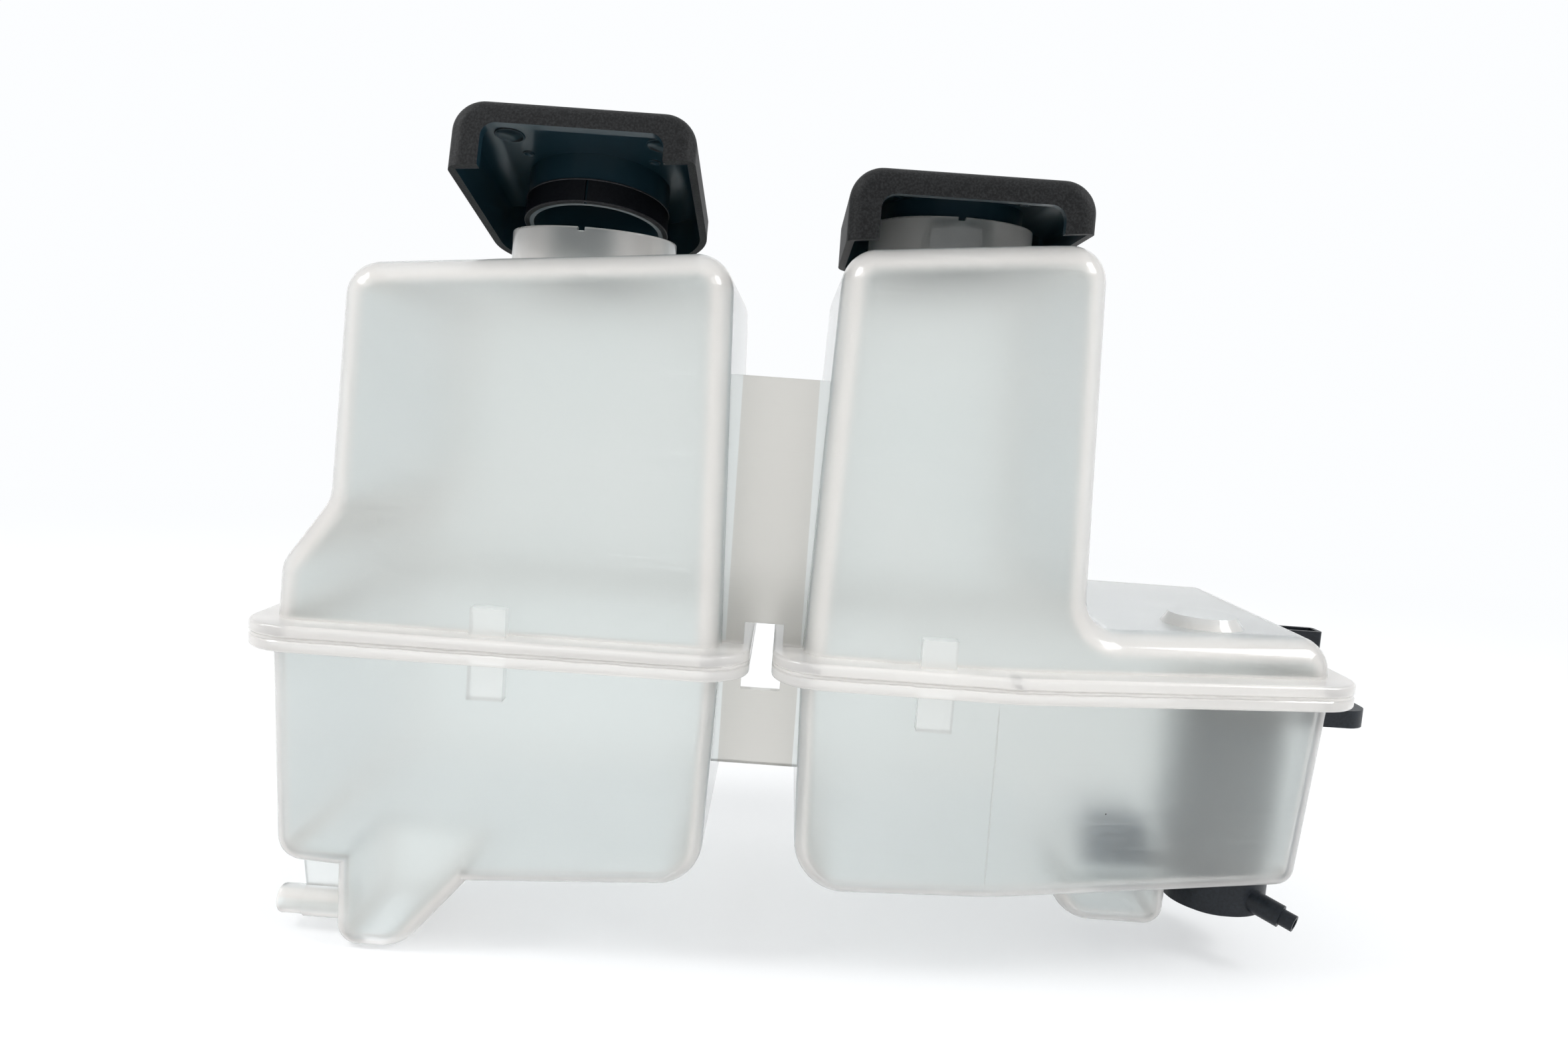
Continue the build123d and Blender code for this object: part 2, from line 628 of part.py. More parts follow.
# Hooded lid, drawn closed about its hinge axis
lid_front = NECK_Y - LID_FRONT_REACH - HINGE_Y
lid_back = NECK_Y + LID_BACK_REACH - HINGE_Y
lid_top = HINGE_BELOW_RIM + LID_ABOVE_RIM
neck_y = NECK_Y - HINGE_Y
lid_floor = HINGE_BELOW_RIM - NECK_HEIGHT + LID_CLEAR_ROOF
skirt_bottom = HINGE_BELOW_RIM - SKIRT_BELOW_RIM


def hood(inset, front_wall):
    """The hood's block, or the hollow inside it: a crowned front profile cut to a round back."""
    width = LID_WIDTH - 2 * inset
    with BuildPart() as block:
        with BuildSketch(Plane.XZ.offset(-lid_front - front_wall)):
            with Locations((0, lid_top - inset - LID_WIDTH / 2)):
                profile = Rectangle(width, LID_WIDTH)
            fillet(profile.vertices().group_by(Axis.Y)[-1], radius=LID_CROWN - inset)
        extrude(amount=lid_front + front_wall - lid_back + inset)
        with BuildSketch():
            with Locations((0, lid_back - inset - LID_WIDTH)):
                plan = Rectangle(width, 2 * LID_WIDTH)
            fillet(plan.vertices().group_by(Axis.Y)[-1], radius=LID_BACK_ROUND - inset)
        extrude(amount=FAR, both=True, mode=Mode.INTERSECT)
    return block.part


hood_block = hood(0.0, 0.0)
hood_hollow = hood(LID_WALL, LID_FRONT_WALL)

with BuildPart() as lid:
    add(hood_block)
    front_rim = lid.faces().sort_by(Axis.Y)[0].edges().sort_by(Axis.Z)[1:]
    fillet(front_rim, radius=LID_EDGE)
    add(hood_hollow, mode=Mode.SUBTRACT)
    with BuildSketch(Plane.XZ.offset(-lid_front)):
        with Locations((0, lid_top - ARCH_BAR - LID_WIDTH / 2)):
            arch = Rectangle(LID_WIDTH - 2 * ARCH_LEG, LID_WIDTH)
        fillet(arch.vertices().group_by(Axis.Y)[-1], radius=ARCH_ROUND)
    extrude(amount=-LID_FRONT_WALL, mode=Mode.SUBTRACT)
    split(bisect_by=Plane((0, 0, lid_floor), z_dir=(-tan(radians(ROOF_SLOPE)), 0, 1)), keep=Keep.TOP)
    with BuildSketch(Plane.YZ.offset(-ARM_HALF)):
        Circle(KNUCKLE_RADIUS)
        with Locations((lid_back - LID_WALL / 2, lid_top)):
            Rectangle(LID_WALL, lid_top / 2, align=(Align.MIN, Align.MAX))
        make_hull()
    extrude(amount=ARM_WIDTH)
    with BuildSketch(Plane.YZ.offset(ARM_WALL - ARM_HALF)):
        with BuildLine():
            Polyline(
                (lid_back, lid_top - ARM_WALL),
                (-KNUCKLE_RADIUS, PIN_RADIUS + ARM_WALL),
                (-KNUCKLE_RADIUS, -KNUCKLE_RADIUS),
                (lid_back, -KNUCKLE_RADIUS),
                close=True,
            )
        make_face()
    extrude(amount=ARM_WIDTH - 2 * ARM_WALL, mode=Mode.SUBTRACT)
    with BuildSketch(Plane.XY.offset(lid_top - LID_WALL / 2)):
        with Locations((0, neck_y)):
            Circle(SKIRT_OD / 2)
            Circle(SKIRT_OD / 2 - SKIRT_WALL, mode=Mode.SUBTRACT)
    extrude(amount=skirt_bottom + SEAL_HEIGHT - lid_top + LID_WALL / 2)
    with BuildSketch(Plane.XY.offset(skirt_bottom + SEAL_HEIGHT)):
        with Locations((0, neck_y)):
            Circle(BAND_RADIUS)
            Circle(SKIRT_OD / 2 - SKIRT_WALL, mode=Mode.SUBTRACT)
    extrude(amount=-SEAL_HEIGHT)
    with Locations(Location((0, 0, 0), (0, 90, 0))):
        Cylinder(PIN_RADIUS + PIN_FIT_LID, ARM_WIDTH + CUT_OVER, mode=Mode.SUBTRACT)

# Rubber sleeve round the foot of the lid's skirt, slit at the front as a vent
with BuildPart() as lid_seal:
    with BuildSketch(Plane.XY.offset(skirt_bottom)):
        with Locations((0, neck_y)):
            Circle(SEAL_RADIUS)
            Circle(BAND_RADIUS + SEAL_FIT, mode=Mode.SUBTRACT)
        with Locations((0, neck_y - SEAL_RADIUS)):
            Rectangle(SEAL_SLIT, 4 * SEAL_THICKNESS, mode=Mode.SUBTRACT)
    extrude(amount=SEAL_HEIGHT)

# Steel hinge pin
with BuildPart() as hinge_pin:
    with Locations(Location((0, 0, 0), (0, 90, 0))):
        Cylinder(PIN_RADIUS, PIN_LENGTH)
    chamfer(hinge_pin.edges(), length=PIN_CHAMFER)

lid_stations = (
    ("coolant", COOLANT_NECK_X, hinges[0], COOLANT_LID_OPEN),
    ("washer", WASHER_NECK_X, hinges[1], WASHER_LID_OPEN),
)


def on_pump(z):
    """Level plane centred on the pump axis."""
    return Plane((PUMP_X, PUMP_Y, z))


def on_inlet(x):
    """Plane across the pump inlet, looking along X."""
    return Plane((x, PUMP_Y, INLET_Z), x_dir=(0, 1, 0), z_dir=(1, 0, 0))


# Pump housing: a cup with seats for the lower bush and the shaft seal
with BuildPart() as pump_housing:
    with BuildSketch(on_pump(HOUSING_BOTTOM)):
        Circle(HOUSING_RADIUS)
    extrude(amount=HOUSING_TOP - HOUSING_BOTTOM)
    with BuildSketch(on_pump(HOUSING_INSIDE)):
        Circle(HOUSING_BORE)
    extrude(amount=HOUSING_TOP - HOUSING_INSIDE, mode=Mode.SUBTRACT)
    with BuildSketch(on_pump(HOUSING_INSIDE)):
        Circle(BUSH_OD / 2 + SEAT_FIT)
    extrude(amount=-BUSH_LENGTH, mode=Mode.SUBTRACT)
    with BuildSketch(on_pump(HOUSING_BOTTOM)):
        Circle(SEAL_RING_OD / 2 + SEAT_FIT)
    extrude(amount=SEAL_RING_LENGTH, mode=Mode.SUBTRACT)
    with BuildSketch(on_pump(HOUSING_BOTTOM)):
        Circle(SHAFT_RADIUS + AIR_GAP)
    extrude(amount=HOUSING_FLOOR, mode=Mode.SUBTRACT)

# Pump cap with an elbow arm out of the alcove to the socket for the plug
with BuildPart() as pump_cap:
    with BuildSketch(on_pump(HOUSING_TOP)):
        Circle(HOUSING_RADIUS)
    extrude(amount=CAP_TOP - HOUSING_TOP)
    fillet(pump_cap.edges().group_by(Axis.Z)[-1], radius=CAP_ROUND)
    with BuildSketch(Plane.XY.offset(HOUSING_TOP)):
        with Locations((PUMP_X, PUMP_Y)):
            Circle(HOUSING_RADIUS / 2)
        with Locations((CONNECTOR_X, PUMP_Y)):
            Circle(CONNECTOR_WIDTH / 2)
        make_hull()
    extrude(amount=CAP_TOP - HOUSING_TOP - CAP_ROUND)
    with BuildSketch(Plane.XY.offset(HOUSING_TOP)):
        with Locations((CONNECTOR_X, PUMP_Y)):
            Circle(CONNECTOR_WIDTH / 2)
        with Locations((CONNECTOR_X, CONNECTOR_Y)):
            Rectangle(CONNECTOR_WIDTH, CONNECTOR_LENGTH)
        make_hull()
    extrude(amount=CAP_TOP - HOUSING_TOP - CAP_ROUND)
    with BuildSketch(Plane.XY.offset(HOUSING_TOP)):
        with Locations((CONNECTOR_X, CONNECTOR_Y)):
            RectangleRounded(CONNECTOR_WIDTH, CONNECTOR_LENGTH, CONNECTOR_WALL)
    extrude(amount=CONNECTOR_TOP - HOUSING_TOP)
    with BuildSketch(Plane.XY.offset(CONNECTOR_FLOOR)):
        with Locations((CONNECTOR_X, CONNECTOR_Y)):
            Rectangle(CONNECTOR_WIDTH - 2 * CONNECTOR_WALL, CONNECTOR_LENGTH - 2 * CONNECTOR_WALL)
    extrude(amount=CONNECTOR_TOP - CONNECTOR_FLOOR, mode=Mode.SUBTRACT)
    with BuildSketch(Plane.XY.offset(CONNECTOR_FLOOR)):
        with Locations((CONNECTOR_X, CONNECTOR_Y)):
            with GridLocations(TERMINAL_PITCH, 0, 2, 1):
                Rectangle(TERMINAL_WIDTH + 2 * SEAT_FIT, TERMINAL_THICKNESS + 2 * SEAT_FIT)
    extrude(amount=-TERMINAL_ROOT, mode=Mode.SUBTRACT)
    with BuildSketch(on_pump(HOUSING_TOP)):
        Circle(CAN_RADIUS)
        Circle(CAN_RADIUS - CAN_WALL, mode=Mode.SUBTRACT)
        with GridLocations(2 * BRUSH_X, 0, 2, 1):
            Rectangle(BRUSH_LENGTH, BRUSH_WIDTH)
    extrude(amount=-CAP_SPIGOT)
    with BuildSketch(on_pump(HOUSING_TOP - CAP_SPIGOT)):
        with GridLocations(2 * BRUSH_X, 0, 2, 1):
            Rectangle(BRUSH_LENGTH, BRUSH_WIDTH)
    extrude(amount=BRUSH_TOP - HOUSING_TOP + CAP_SPIGOT)
    with BuildSketch(on_pump(HOUSING_TOP)):
        Circle(BUSH_OD / 2 + SEAT_FIT)
    extrude(amount=BUSH_LENGTH, mode=Mode.SUBTRACT)
    with BuildSketch(on_pump(HOUSING_TOP)):
        Circle(SHAFT_RADIUS + AIR_GAP)
    extrude(amount=SHAFT_TOP - HOUSING_TOP + AIR_GAP, mode=Mode.SUBTRACT)

# Two blade terminals in the socket
with BuildPart() as pump_terminals:
    with BuildSketch(Plane.XY.offset(CONNECTOR_FLOOR - TERMINAL_ROOT)):
        with Locations((CONNECTOR_X, CONNECTOR_Y)):
            with GridLocations(TERMINAL_PITCH, 0, 2, 1):
                Rectangle(TERMINAL_WIDTH, TERMINAL_THICKNESS)
    extrude(amount=TERMINAL_HEIGHT + TERMINAL_ROOT)

# Pump head: inlet room round the shaft, volute below it, inlet spigot and outlet barb
with BuildPart() as pump_head:
    with BuildSketch(on_pump(HEAD_BOTTOM)):
        Circle(HEAD_RADIUS)
    extrude(amount=HOUSING_BOTTOM - HEAD_BOTTOM)
    with BuildSketch(on_inlet(INLET_TIP_X)):
        Circle(INLET_OD / 2)
    extrude(amount=PUMP_X - INLET_TIP_X)
    with BuildSketch(OUTLET_PLANE):
        Circle(OUTLET_STEM_OD / 2)
    extrude(amount=OUTLET_STEM)
    with BuildSketch(OUTLET_PLANE.offset(OUTLET_STEM)):
        Circle(OUTLET_TIP_OD / 2)
    extrude(amount=OUTLET_TIP)
    with BuildSketch(on_pump(HEAD_BOTTOM)):
        Circle(VOLUTE_RADIUS)
    extrude(amount=VOLUTE_DEPTH, mode=Mode.SUBTRACT)
    with BuildSketch(on_pump(VOLUTE_TOP)):
        Circle(INLET_ROOM_RADIUS)
    extrude(amount=HOUSING_BOTTOM - VOLUTE_TOP, mode=Mode.SUBTRACT)
    with BuildSketch(on_inlet(INLET_TIP_X)):
        Circle(INLET_BORE / 2)
    extrude(amount=PUMP_X - INLET_TIP_X, mode=Mode.SUBTRACT)
    with BuildSketch(OUTLET_PLANE):
        Circle(OUTLET_BORE / 2)
    extrude(amount=OUTLET_STEM + OUTLET_TIP, mode=Mode.SUBTRACT)

# Cover under the volute
with BuildPart() as pump_cover:
    with BuildSketch(on_pump(HEAD_BOTTOM)):
        Circle(VOLUTE_RADIUS + COVER_LAP)
    extrude(amount=-COVER_THICKNESS)
    fillet(pump_cover.edges().group_by(Axis.Z)[0], radius=COVER_ROUND)

# Rubber grommet in the sump wall
with BuildPart() as pump_grommet:
    with BuildSketch(on_inlet(WELL_RIGHT - WALL)):
        Circle(GROMMET_HOLE / 2 - GROMMET_FIT)
    extrude(amount=WALL)
    with BuildSketch(on_inlet(WELL_RIGHT)):
        Circle(GROMMET_FLANGE / 2)
    extrude(amount=GROMMET_LIP)
    with BuildSketch(on_inlet(WELL_RIGHT - WALL)):
        Circle(GROMMET_FLANGE / 2)
    extrude(amount=-GROMMET_LIP, taper=GROMMET_TAPER)
    with BuildSketch(on_inlet(WELL_RIGHT - WALL - GROMMET_LIP)):
        Circle(INLET_OD / 2 + GROMMET_FIT)
    extrude(amount=WALL + 2 * GROMMET_LIP, mode=Mode.SUBTRACT)

# Slotted strainer box on the end of the inlet spigot
strainer_right = WELL_RIGHT - WALL - GROMMET_LIP
strainer_left = strainer_right - STRAINER_LENGTH
with BuildPart() as inlet_strainer:
    with BuildSketch(on_inlet(strainer_left)):
        with Locations((0, STRAINER_LIFT)):
            RectangleRounded(STRAINER_WIDTH, STRAINER_HEIGHT, STRAINER_ROUND)
    extrude(amount=STRAINER_LENGTH)
    with BuildSketch(on_inlet(strainer_left + STRAINER_WALL)):
        with Locations((0, STRAINER_LIFT)):
            Rectangle(STRAINER_WIDTH - 2 * STRAINER_WALL, STRAINER_HEIGHT - 2 * STRAINER_WALL)
    extrude(amount=STRAINER_LENGTH - 2 * STRAINER_WALL, mode=Mode.SUBTRACT)
    with BuildSketch(on_inlet(strainer_right)):
        Circle(INLET_OD / 2 + GROMMET_FIT)
    extrude(amount=-2 * STRAINER_WALL, mode=Mode.SUBTRACT)
    with BuildSketch(Plane.XZ.offset(-PUMP_Y)):
        with Locations(((strainer_left + strainer_right) / 2, INLET_Z + STRAINER_LIFT)):
            with GridLocations(0, STRAINER_HEIGHT / (STRAINER_SLOTS + 1), 1, STRAINER_SLOTS):
                Rectangle(STRAINER_LENGTH - 4 * STRAINER_WALL, STRAINER_SLOT)
    extrude(amount=STRAINER_WIDTH, both=True, mode=Mode.SUBTRACT)

# Motor: flux can, magnets, armature on its shaft, brushes, bushes, seal and impeller
with BuildPart() as flux_can:
    with BuildSketch(on_pump(HOUSING_INSIDE)):
        Circle(CAN_RADIUS)
        Circle(CAN_RADIUS - CAN_WALL, mode=Mode.SUBTRACT)
    extrude(amount=HOUSING_TOP - CAP_SPIGOT - HOUSING_INSIDE)

with BuildPart() as motor_magnets:
    with BuildSketch(on_pump(HOUSING_INSIDE + MAGNET_LIFT)):
        for start in (-MAGNET_ARC / 2, HALF_TURN - MAGNET_ARC / 2):
            with BuildLine():
                outer = CenterArc((0, 0), MAGNET_RADIUS, start, MAGNET_ARC)
                inner = CenterArc((0, 0), MAGNET_RADIUS - MAGNET_THICKNESS, start, MAGNET_ARC)
                Line(outer @ 0, inner @ 0)
                Line(outer @ 1, inner @ 1)
            make_face()
    extrude(amount=MAGNET_LENGTH)

with BuildPart() as motor_shaft:
    with BuildSketch(on_pump(SHAFT_BOTTOM)):
        Circle(SHAFT_RADIUS)
    extrude(amount=SHAFT_TOP - SHAFT_BOTTOM)

with BuildPart() as armature:
    with BuildSketch(on_pump(CORE_BOTTOM)):
        Circle(CORE_RADIUS)
        with PolarLocations(CORE_RADIUS - CORE_SLOT_DEPTH / 2, CORE_SLOTS):
            Rectangle(CORE_SLOT_DEPTH + AIR_GAP, CORE_SLOT_WIDTH, mode=Mode.SUBTRACT)
        Circle(SHAFT_RADIUS + SHAFT_FIT, mode=Mode.SUBTRACT)
    extrude(amount=CORE_LENGTH)

with BuildPart() as commutator:
    with BuildSketch(on_pump(CORE_TOP)):
        Circle(COMMUTATOR_OD / 2)
        Circle(SHAFT_RADIUS + SHAFT_FIT, mode=Mode.SUBTRACT)
    extrude(amount=COMMUTATOR_LENGTH)

with BuildPart() as motor_brushes:
    with BuildSketch(on_pump(BRUSH_TOP)):
        with GridLocations(2 * BRUSH_X, 0, 2, 1):
            Rectangle(BRUSH_LENGTH, BRUSH_WIDTH)
    extrude(amount=-BRUSH_HEIGHT)

with BuildPart() as upper_bush:
    with BuildSketch(on_pump(HOUSING_TOP)):
        Circle(BUSH_OD / 2)
        Circle(SHAFT_RADIUS + SHAFT_FIT, mode=Mode.SUBTRACT)
    extrude(amount=BUSH_LENGTH)

with BuildPart() as lower_bush:
    with BuildSketch(on_pump(HOUSING_INSIDE)):
        Circle(BUSH_OD / 2)
        Circle(SHAFT_RADIUS + SHAFT_FIT, mode=Mode.SUBTRACT)
    extrude(amount=-BUSH_LENGTH)

with BuildPart() as shaft_seal:
    with BuildSketch(on_pump(HOUSING_BOTTOM)):
        Circle(SEAL_RING_OD / 2)
        Circle(SHAFT_RADIUS + SHAFT_FIT, mode=Mode.SUBTRACT)
    extrude(amount=SEAL_RING_LENGTH)

with BuildPart() as impeller:
    with BuildSketch(on_pump(IMPELLER_BOTTOM)):
        Circle(IMPELLER_RADIUS)
    extrude(amount=IMPELLER_DISC)
    with BuildSketch(on_pump(IMPELLER_BOTTOM + IMPELLER_DISC)):
        Circle(IMPELLER_HUB / 2)
        with PolarLocations(BLADE_REACH / 2, IMPELLER_BLADES):
            Rectangle(BLADE_REACH, IMPELLER_BLADE_WIDTH)
        Circle(SHAFT_RADIUS + SHAFT_FIT, mode=Mode.SUBTRACT)
    extrude(amount=IMPELLER_BLADE)

pieces = {
    "upper_shell": upper_shell.part,
    "lower_shell": lower_shell.part,
    "pump_housing": pump_housing.part,
    "pump_cap": pump_cap.part,
    "pump_terminals": pump_terminals.part,
    "pump_head": pump_head.part,
    "pump_cover": pump_cover.part,
    "pump_grommet": pump_grommet.part,
    "inlet_strainer": inlet_strainer.part,
    "flux_can": flux_can.part,
    "motor_magnets": motor_magnets.part,
    "motor_shaft": motor_shaft.part,
    "armature": armature.part,
    "commutator": commutator.part,
    "motor_brushes": motor_brushes.part,
    "upper_bush": upper_bush.part,
    "lower_bush": lower_bush.part,
    "shaft_seal": shaft_seal.part,
    "impeller": impeller.part,
}
for name, x, hinge, angle in lid_stations:
    pieces[name + "_lid"] = placed(lid.part, x, hinge, angle)
    pieces[name + "_lid_seal"] = placed(lid_seal.part, x, hinge, angle)
    pieces[name + "_hinge_pin"] = placed(hinge_pin.part, x, hinge)

os.makedirs("parts", exist_ok=True)
for name, piece in pieces.items():
    piece.label = name
    export_step(piece, "parts/" + name + ".step")
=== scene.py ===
# %% [markdown]
# # A twin-chamber expansion tank
# The solids of the tank, its two lids and its pump come ready made and stay as they are. This lesson gives
# them their finishes and adds what their making leaves behind: the bead of the weld, the line where two
# blocks of the mould met, the marks of the ejector pins and the lips of the rubber seals.

# %% The fixed frame
import json
import math

import bpy
import numpy as np
from mathutils import Matrix, Vector


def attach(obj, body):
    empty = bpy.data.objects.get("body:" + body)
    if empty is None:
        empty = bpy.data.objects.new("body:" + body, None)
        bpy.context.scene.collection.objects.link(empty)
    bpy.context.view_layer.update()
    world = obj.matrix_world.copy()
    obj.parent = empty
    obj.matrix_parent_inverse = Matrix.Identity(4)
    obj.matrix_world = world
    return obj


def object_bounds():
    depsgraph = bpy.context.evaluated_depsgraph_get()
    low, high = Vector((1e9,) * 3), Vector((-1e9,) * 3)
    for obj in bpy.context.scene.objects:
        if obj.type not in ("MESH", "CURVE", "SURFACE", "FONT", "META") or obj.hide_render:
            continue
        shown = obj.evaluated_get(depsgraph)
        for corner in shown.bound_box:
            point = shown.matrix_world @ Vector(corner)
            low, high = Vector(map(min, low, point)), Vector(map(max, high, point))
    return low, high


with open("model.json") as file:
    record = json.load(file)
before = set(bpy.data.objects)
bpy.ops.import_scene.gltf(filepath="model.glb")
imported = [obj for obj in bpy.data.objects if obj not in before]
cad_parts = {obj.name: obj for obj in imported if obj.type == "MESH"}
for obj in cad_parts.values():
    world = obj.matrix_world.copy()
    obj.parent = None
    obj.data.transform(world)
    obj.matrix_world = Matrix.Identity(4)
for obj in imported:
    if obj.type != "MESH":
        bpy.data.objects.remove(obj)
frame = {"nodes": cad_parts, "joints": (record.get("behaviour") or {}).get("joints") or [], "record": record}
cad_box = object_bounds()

NODES = frame["nodes"]
PIVOTS = {joint["child"]: Vector(joint["pos_m"]) for joint in frame["joints"]}
print(len(NODES), "CAD nodes between", tuple(cad_box[0]), "and", tuple(cad_box[1]))

# %% [markdown]
# ## Shader nodes
# A finish is a graph of shader nodes. It could be drawn by hand in the node editor. In a script each node,
# option and link would take a line of its own, so a few helpers make a node and fill its sockets in one
# call, and the finishes below read like formulas.

# %% Shader nodes
scene = bpy.context.scene
scene.view_settings.view_transform = "Standard"


def fill(node, sockets):
    """Gives each socket of a node a plain value, or a link where the value is another socket."""
    for name, value in sockets.items():
        if isinstance(value, bpy.types.NodeSocket):
            node.id_data.links.new(value, node.inputs[name])
        else:
            node.inputs[name].default_value = value


def wire(tree, kind, sockets=(), **options):
    """One shader node with its options set and its sockets filled."""
    node = tree.nodes.new("ShaderNode" + kind)
    for name, value in options.items():
        setattr(node, name, value)
    fill(node, dict(sockets))
    return node


def maths(tree, operation, first, second=0.0):
    """One sum on two numbers. The node's sockets share one name, so they are told apart by their order."""
    return wire(tree, "Math", {0: first, 1: second}, operation=operation).outputs[0]


def ranged(tree, value, low, high, to_low=0.0, to_high=1.0):
    """A number carried from one range to another, with a soft start and end, and held beyond them."""
    ends = {"Value": value, "From Min": low, "From Max": high, "To Min": to_low, "To Max": to_high}
    return wire(tree, "MapRange", ends, interpolation_type="SMOOTHSTEP").outputs["Result"]


def between(tree, share, first, second):
    """A number between two numbers: the first plus the share times their difference."""
    return wire(tree, "MapRange", {"Value": share, "To Min": first, "To Max": second}).outputs["Result"]


def mixed(tree, share, first, second, kind="RGBA"):
    """A colour, or for the kind VECTOR a vector, between two others by a share from 0 to 1."""
    return wire(tree, "Mix", {"Factor": share, "A": first, "B": second}, data_type=kind).outputs["Result"]


print("shader helpers ready, colours shown as", scene.view_settings.view_transform)

# %% [markdown]
# ## Floor
# The tank is milky, so it shows what is around it and what is behind it. A plain pale plane would do as a
# floor, but its far edge would show as a line. So what is seen of this one fades into the sky far away.
# Rays that come through the plastic see all of it as sky, which keeps the lower walls clear.

# %% Floor
FLOOR_REACH = 4.0
FLOOR_COLOUR = (0.94, 0.945, 0.95, 1.0)
FLOOR_ROUGHNESS = 0.9
FLOOR_SPECULAR = 0.1
FLOOR_FADE = (0.45, 1.5)
FLOOR_GLOW = 0.5
FLOOR_GLOW_THROUGH = 1.0
SKY_COLOUR = (0.975, 0.987, 1.0, 1.0)
SKY_SEEN = 1.0


def new_finish(name):
    """A material with one Principled shader, and its tree, shader and coordinates."""
    finish = bpy.data.materials.new(name)
    finish.use_nodes = True
    tree = finish.node_tree
    return finish, tree, tree.nodes["Principled BSDF"], wire(tree, "TexCoord").outputs


def seen_rays(tree):
    """1 for rays from the camera, from gloss and through plastic, and 0 for rays that light the part."""
    path = wire(tree, "LightPath").outputs
    share = path["Is Camera Ray"]
    for ray in ("Is Glossy Ray", "Is Transmission Ray"):
        share = maths(tree, "MAXIMUM", share, path[ray])
    return share


def floor_paint():
    """Pale paint that turns into the sky's own light with the distance from the middle of the floor."""
    finish, tree, shader, coords = new_finish("floor_paint")
    fill(shader, {"Base Color": FLOOR_COLOUR, "Roughness": FLOOR_ROUGHNESS,
                  "Specular IOR Level": FLOOR_SPECULAR})
    reach = wire(tree, "VectorMath", {0: coords["Object"]}, operation="LENGTH").outputs["Value"]
    through = wire(tree, "LightPath").outputs["Is Transmission Ray"]
    near = between(tree, through, FLOOR_GLOW, FLOOR_GLOW_THROUGH)
    share = maths(tree, "MULTIPLY", ranged(tree, reach, *FLOOR_FADE, near, 1.0), seen_rays(tree))
    glow = wire(tree, "Emission", {"Color": SKY_COLOUR, "Strength": SKY_SEEN})
    both = wire(tree, "MixShader", {0: share, 1: shader.outputs[0], 2: glow.outputs[0]})
    fill(tree.nodes["Material Output"], {"Surface": both.outputs[0]})
    return finish


def lay_floor():
    """A flat square about the upright axis, at the height of the tank's lowest point."""
    level = cad_box[0].z
    corners = np.array([(-1, -1, 0), (1, -1, 0), (1, 1, 0), (-1, 1, 0)]) * FLOOR_REACH + (0, 0, level)
    mesh = bpy.data.meshes.new("floor")
    mesh.from_pydata(corners.tolist(), [], [(0, 1, 2, 3)])
    mesh.materials.append(floor_paint())
    floor = bpy.data.objects.new("floor", mesh)
    scene.collection.objects.link(floor)


lay_floor()
print("floor at", round(cad_box[0].z, 4), "m")

# %% [markdown]
# ## Sky and lamps
# A pale sky gives the walls their even light, and two large soft lamps, high on the left and on the right,
# put the bright spots on the upper corners. Small bright lamps would be a poor choice, because light that
# has to find its way through a milky wall turns them into grain.

# %% Sky and lamps
SKY_LIGHT = 0.90
# Each lamp has a name, a place, a point that it faces, a width and a power in watts.
LAMPS = (
    ("key_lamp", (-0.85, -0.24, 0.75), (0.0, 0.03, 0.02), 0.42, 6.4),
    ("fill_lamp", (0.90, -0.26, 0.72), (0.05, 0.03, 0.02), 0.40, 5.6),
)


def light_sky():
    """An even sky, which rays from the camera, from gloss and through plastic see as white."""
    world = bpy.data.worlds.new("studio")
    scene.world = world
    world.use_nodes = True
    tree = world.node_tree
    strength = between(tree, seen_rays(tree), SKY_LIGHT, SKY_SEEN)
    fill(tree.nodes["Background"], {"Color": SKY_COLOUR, "Strength": strength})


def hang_lamp(name, place, aim, width, power):
    """A square soft lamp at a place, turned to a point."""
    lamp = bpy.data.lights.new(name, "AREA")
    lamp.energy = power
    lamp.size = width
    holder = bpy.data.objects.new(name, lamp)
    holder.location = place
    holder.rotation_euler = (Vector(aim) - Vector(place)).to_track_quat("-Z", "Y").to_euler()
    scene.collection.objects.link(holder)


light_sky()
for lamp_row in LAMPS:
    hang_lamp(*lamp_row)
print("sky of strength", SKY_LIGHT, "and", len(LAMPS), "lamps")

# %% [markdown]
# ## Camera
# The photograph was taken close up with a wide lens, held a little above the weld flange, tipped down
# and turned by a few degrees, so level edges fall to the right. A camera could be aimed at a point, but
# that leaves out the turn, so its three axes are worked out. Its place was solved from the size of the
# front edges against the back ones.

# %% Camera
LENS_MM = 26.0
SENSOR_MM = 36.0
NEAREST_SEEN = 0.01
EYE = Vector((0.0037, -0.342, 0.079))
TIP = math.radians(-6.1)
TURN = math.radians(4.1)


def set_camera():
    """Axes of the camera: forward is tipped about X, then right and up are turned about forward."""
    forward = Vector((0.0, math.cos(TIP), math.sin(TIP)))
    level_up = Vector((0.0, -math.sin(TIP), math.cos(TIP)))
    across = Vector((1.0, 0.0, 0.0))
    right = math.cos(TURN) * across + math.sin(TURN) * level_up
    up = -math.sin(TURN) * across + math.cos(TURN) * level_up
    data = bpy.data.cameras.new("photo_camera")
    data.lens = LENS_MM
    data.sensor_width = SENSOR_MM
    data.sensor_fit = "HORIZONTAL"
    data.clip_start = NEAREST_SEEN
    camera = bpy.data.objects.new("photo_camera", data)
    axes = Matrix((right, up, -forward)).transposed().to_4x4()
    camera.matrix_world = Matrix.Translation(EYE) @ axes
    scene.collection.objects.link(camera)
    scene.camera = camera


set_camera()
print("camera at", tuple(EYE), "with a", LENS_MM, "mm lens")

